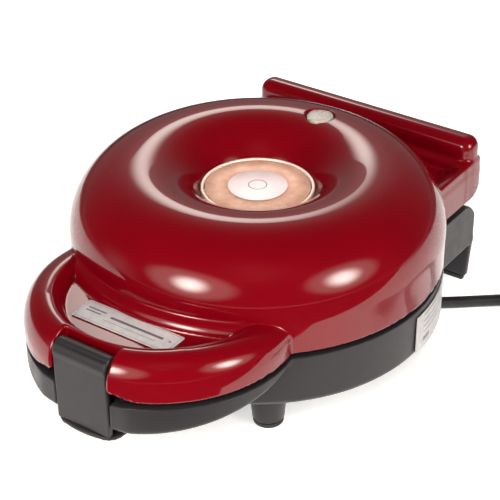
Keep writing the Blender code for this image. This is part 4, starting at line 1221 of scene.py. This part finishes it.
def make_rating_label():
    """A foil label bent round the base's right side, with five plain bars."""
    marks = [
        ((2, 49.5, 50.4), (1, 24.0, 60.0)),
        ((2, 45.5, 46.2), (1, 24.0, 52.0)),
        ((2, 42.0, 42.7), (1, 24.0, 66.0)),
        ((2, 38.5, 39.1), (1, 24.0, 48.0)),
        ((2, 33.0, 35.6), (1, 24.0, 32.0)),
    ]
    inside = BASE_R + 0.3
    section = [(29.0, 0.2), (29.2, 0.4), (51.8, 0.4), (52.0, 0.2), (52.0, 0.0), (29.0, 0.0)]
    bm = bmesh.new()
    rings = []
    for k in range(41):
        a = math.radians(-1 + 33 * k / 40)
        out = [(inside + d, z) for z, d in section]
        spots = [Vector((r * math.cos(a), PLATE_Y + r * math.sin(a), z)) for r, z in out]
        rings.append([bm.verts.new(spot * MM) for spot in spots])
    for one, two in zip(rings, rings[1:]):
        for k in range(len(section)):
            n = (k + 1) % len(section)
            bm.faces.new([one[k], two[k], two[n], one[n]])
    bm.faces.new(rings[0])
    bm.faces.new(rings[-1])
    foil = label_foil("rating_foil", marks, 0.75)
    add("rating_plate", finished("rating_plate", bm), foil, "base", ("rating_label",))


def make_latch(satin):
    """The latch's moulding."""
    low, high = (-LATCH_HALF, LATCH_Y - 6.2, LATCH_LOW_Z), (LATCH_HALF, LATCH_Y + 6.2, LATCH_Z + 6.2)
    moulded("latch_moulding", latch_field, low, high, 0.5, satin, "latch", ("latch",), "dark_satin")


def make_feet():
    """Round pads under the front posts and oblong ones under the rear legs."""
    soft = rubber()
    profile = [(0, 0), (7.0, 0), (7.7, 0.25), (8.2, 0.8), (8.4, 1.4), (8.4, 2.9), (8.2, 3.0), (0, 3.0)]
    for side, word in ((-1, "left"), (1, "right")):
        pad = turned(f"front_pad_{word}", profile, 48, (FRONT_FOOT[0] * side, FRONT_FOOT[1]))
        add(f"front_pad_{word}", pad, soft, "base", (f"front_foot_pad_{word}",))
        x, y = side * (BAY_HALF + WING_HALF - 11.4) / 2, REAR_WALL_Y - 3.4
        corners = [(x - 8.5, y - 2.0), (x + 8.5, y - 2.0), (x + 8.5, y + 2.0), (x - 8.5, y + 2.0)]
        outline = rounded(corners, 1.6, 6)
        pad = prism(f"rear_pad_{word}", outline, 0, 3.0, 0.7)
        add(f"rear_pad_{word}", pad, soft, "base", (f"rear_foot_pad_{word}",))


def finish_cad_nodes(satin, black):
    """Gives the nodes that stay as packed their materials, and softens their edges."""
    steel = metal("drawn_steel", (0.52, 0.52, 0.53), 0.32, (1, 1, 1), 700)
    shield = metal("pressed_aluminium", (0.66, 0.66, 0.67), 0.36, (8, 1, 1), 300, 0.00004)
    heater = metal("heater_sheath", (0.20, 0.18, 0.17), 0.5, scale=900, depth=0.00006)
    ceramic = bare_ceramic("ceramic", (0.78, 0.76, 0.70))
    wire = satin_plastic("wire_sleeve", (0.32, 0.24, 0.08), 0.55)
    by_word = [
        ("element", heater),
        ("shield", shield),
        ("screw", steel),
        ("pin", steel),
        ("fuse", steel),
        ("thermostat", ceramic),
        ("terminal", ceramic),
        ("wire", wire),
        ("bulb", ceramic),
        ("deck", black),
        ("frame", black),
        ("cover", satin),
    ]
    for name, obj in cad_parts.items():
        if obj.hide_render:
            continue
        material = next((m for word, m in by_word if word in name), black)
        obj.data.materials.clear()
        obj.data.materials.append(material)
        weld = obj.modifiers.new("Weld", "WELD")
        weld.merge_threshold = 0.00001
        soften = obj.modifiers.new("Bevel", "BEVEL")
        soften.width = 0.0003
        soften.segments = 2
        soften.limit_method = "ANGLE"
        soften.angle_limit = math.radians(40)


make_camera()
make_world()
make_floor()
make_card("black_card", -2.4, -0.178, 0.004)
make_card("grey_card", 0.5, 6.0, 0.12)
make_lights()
make_lead()
red_lacquer = gloss_red()
satin_grey = satin_plastic("satin_grey", (0.019, 0.017, 0.0195), 0.36)
black_plastic = satin_plastic("black_plastic", (0.003, 0.003, 0.0033), 0.55, gloss=0.12)
nonstick_coat = nonstick()
make_lid(red_lacquer, black_plastic)
make_badge()
make_lens()
make_front_label()
make_plates(nonstick_coat)
make_base(satin_grey)
make_rating_label()
make_latch(satin_grey)
make_feet()
finish_cad_nodes(satin_grey, black_plastic)
bpy.context.scene.view_settings.view_transform = "Standard"
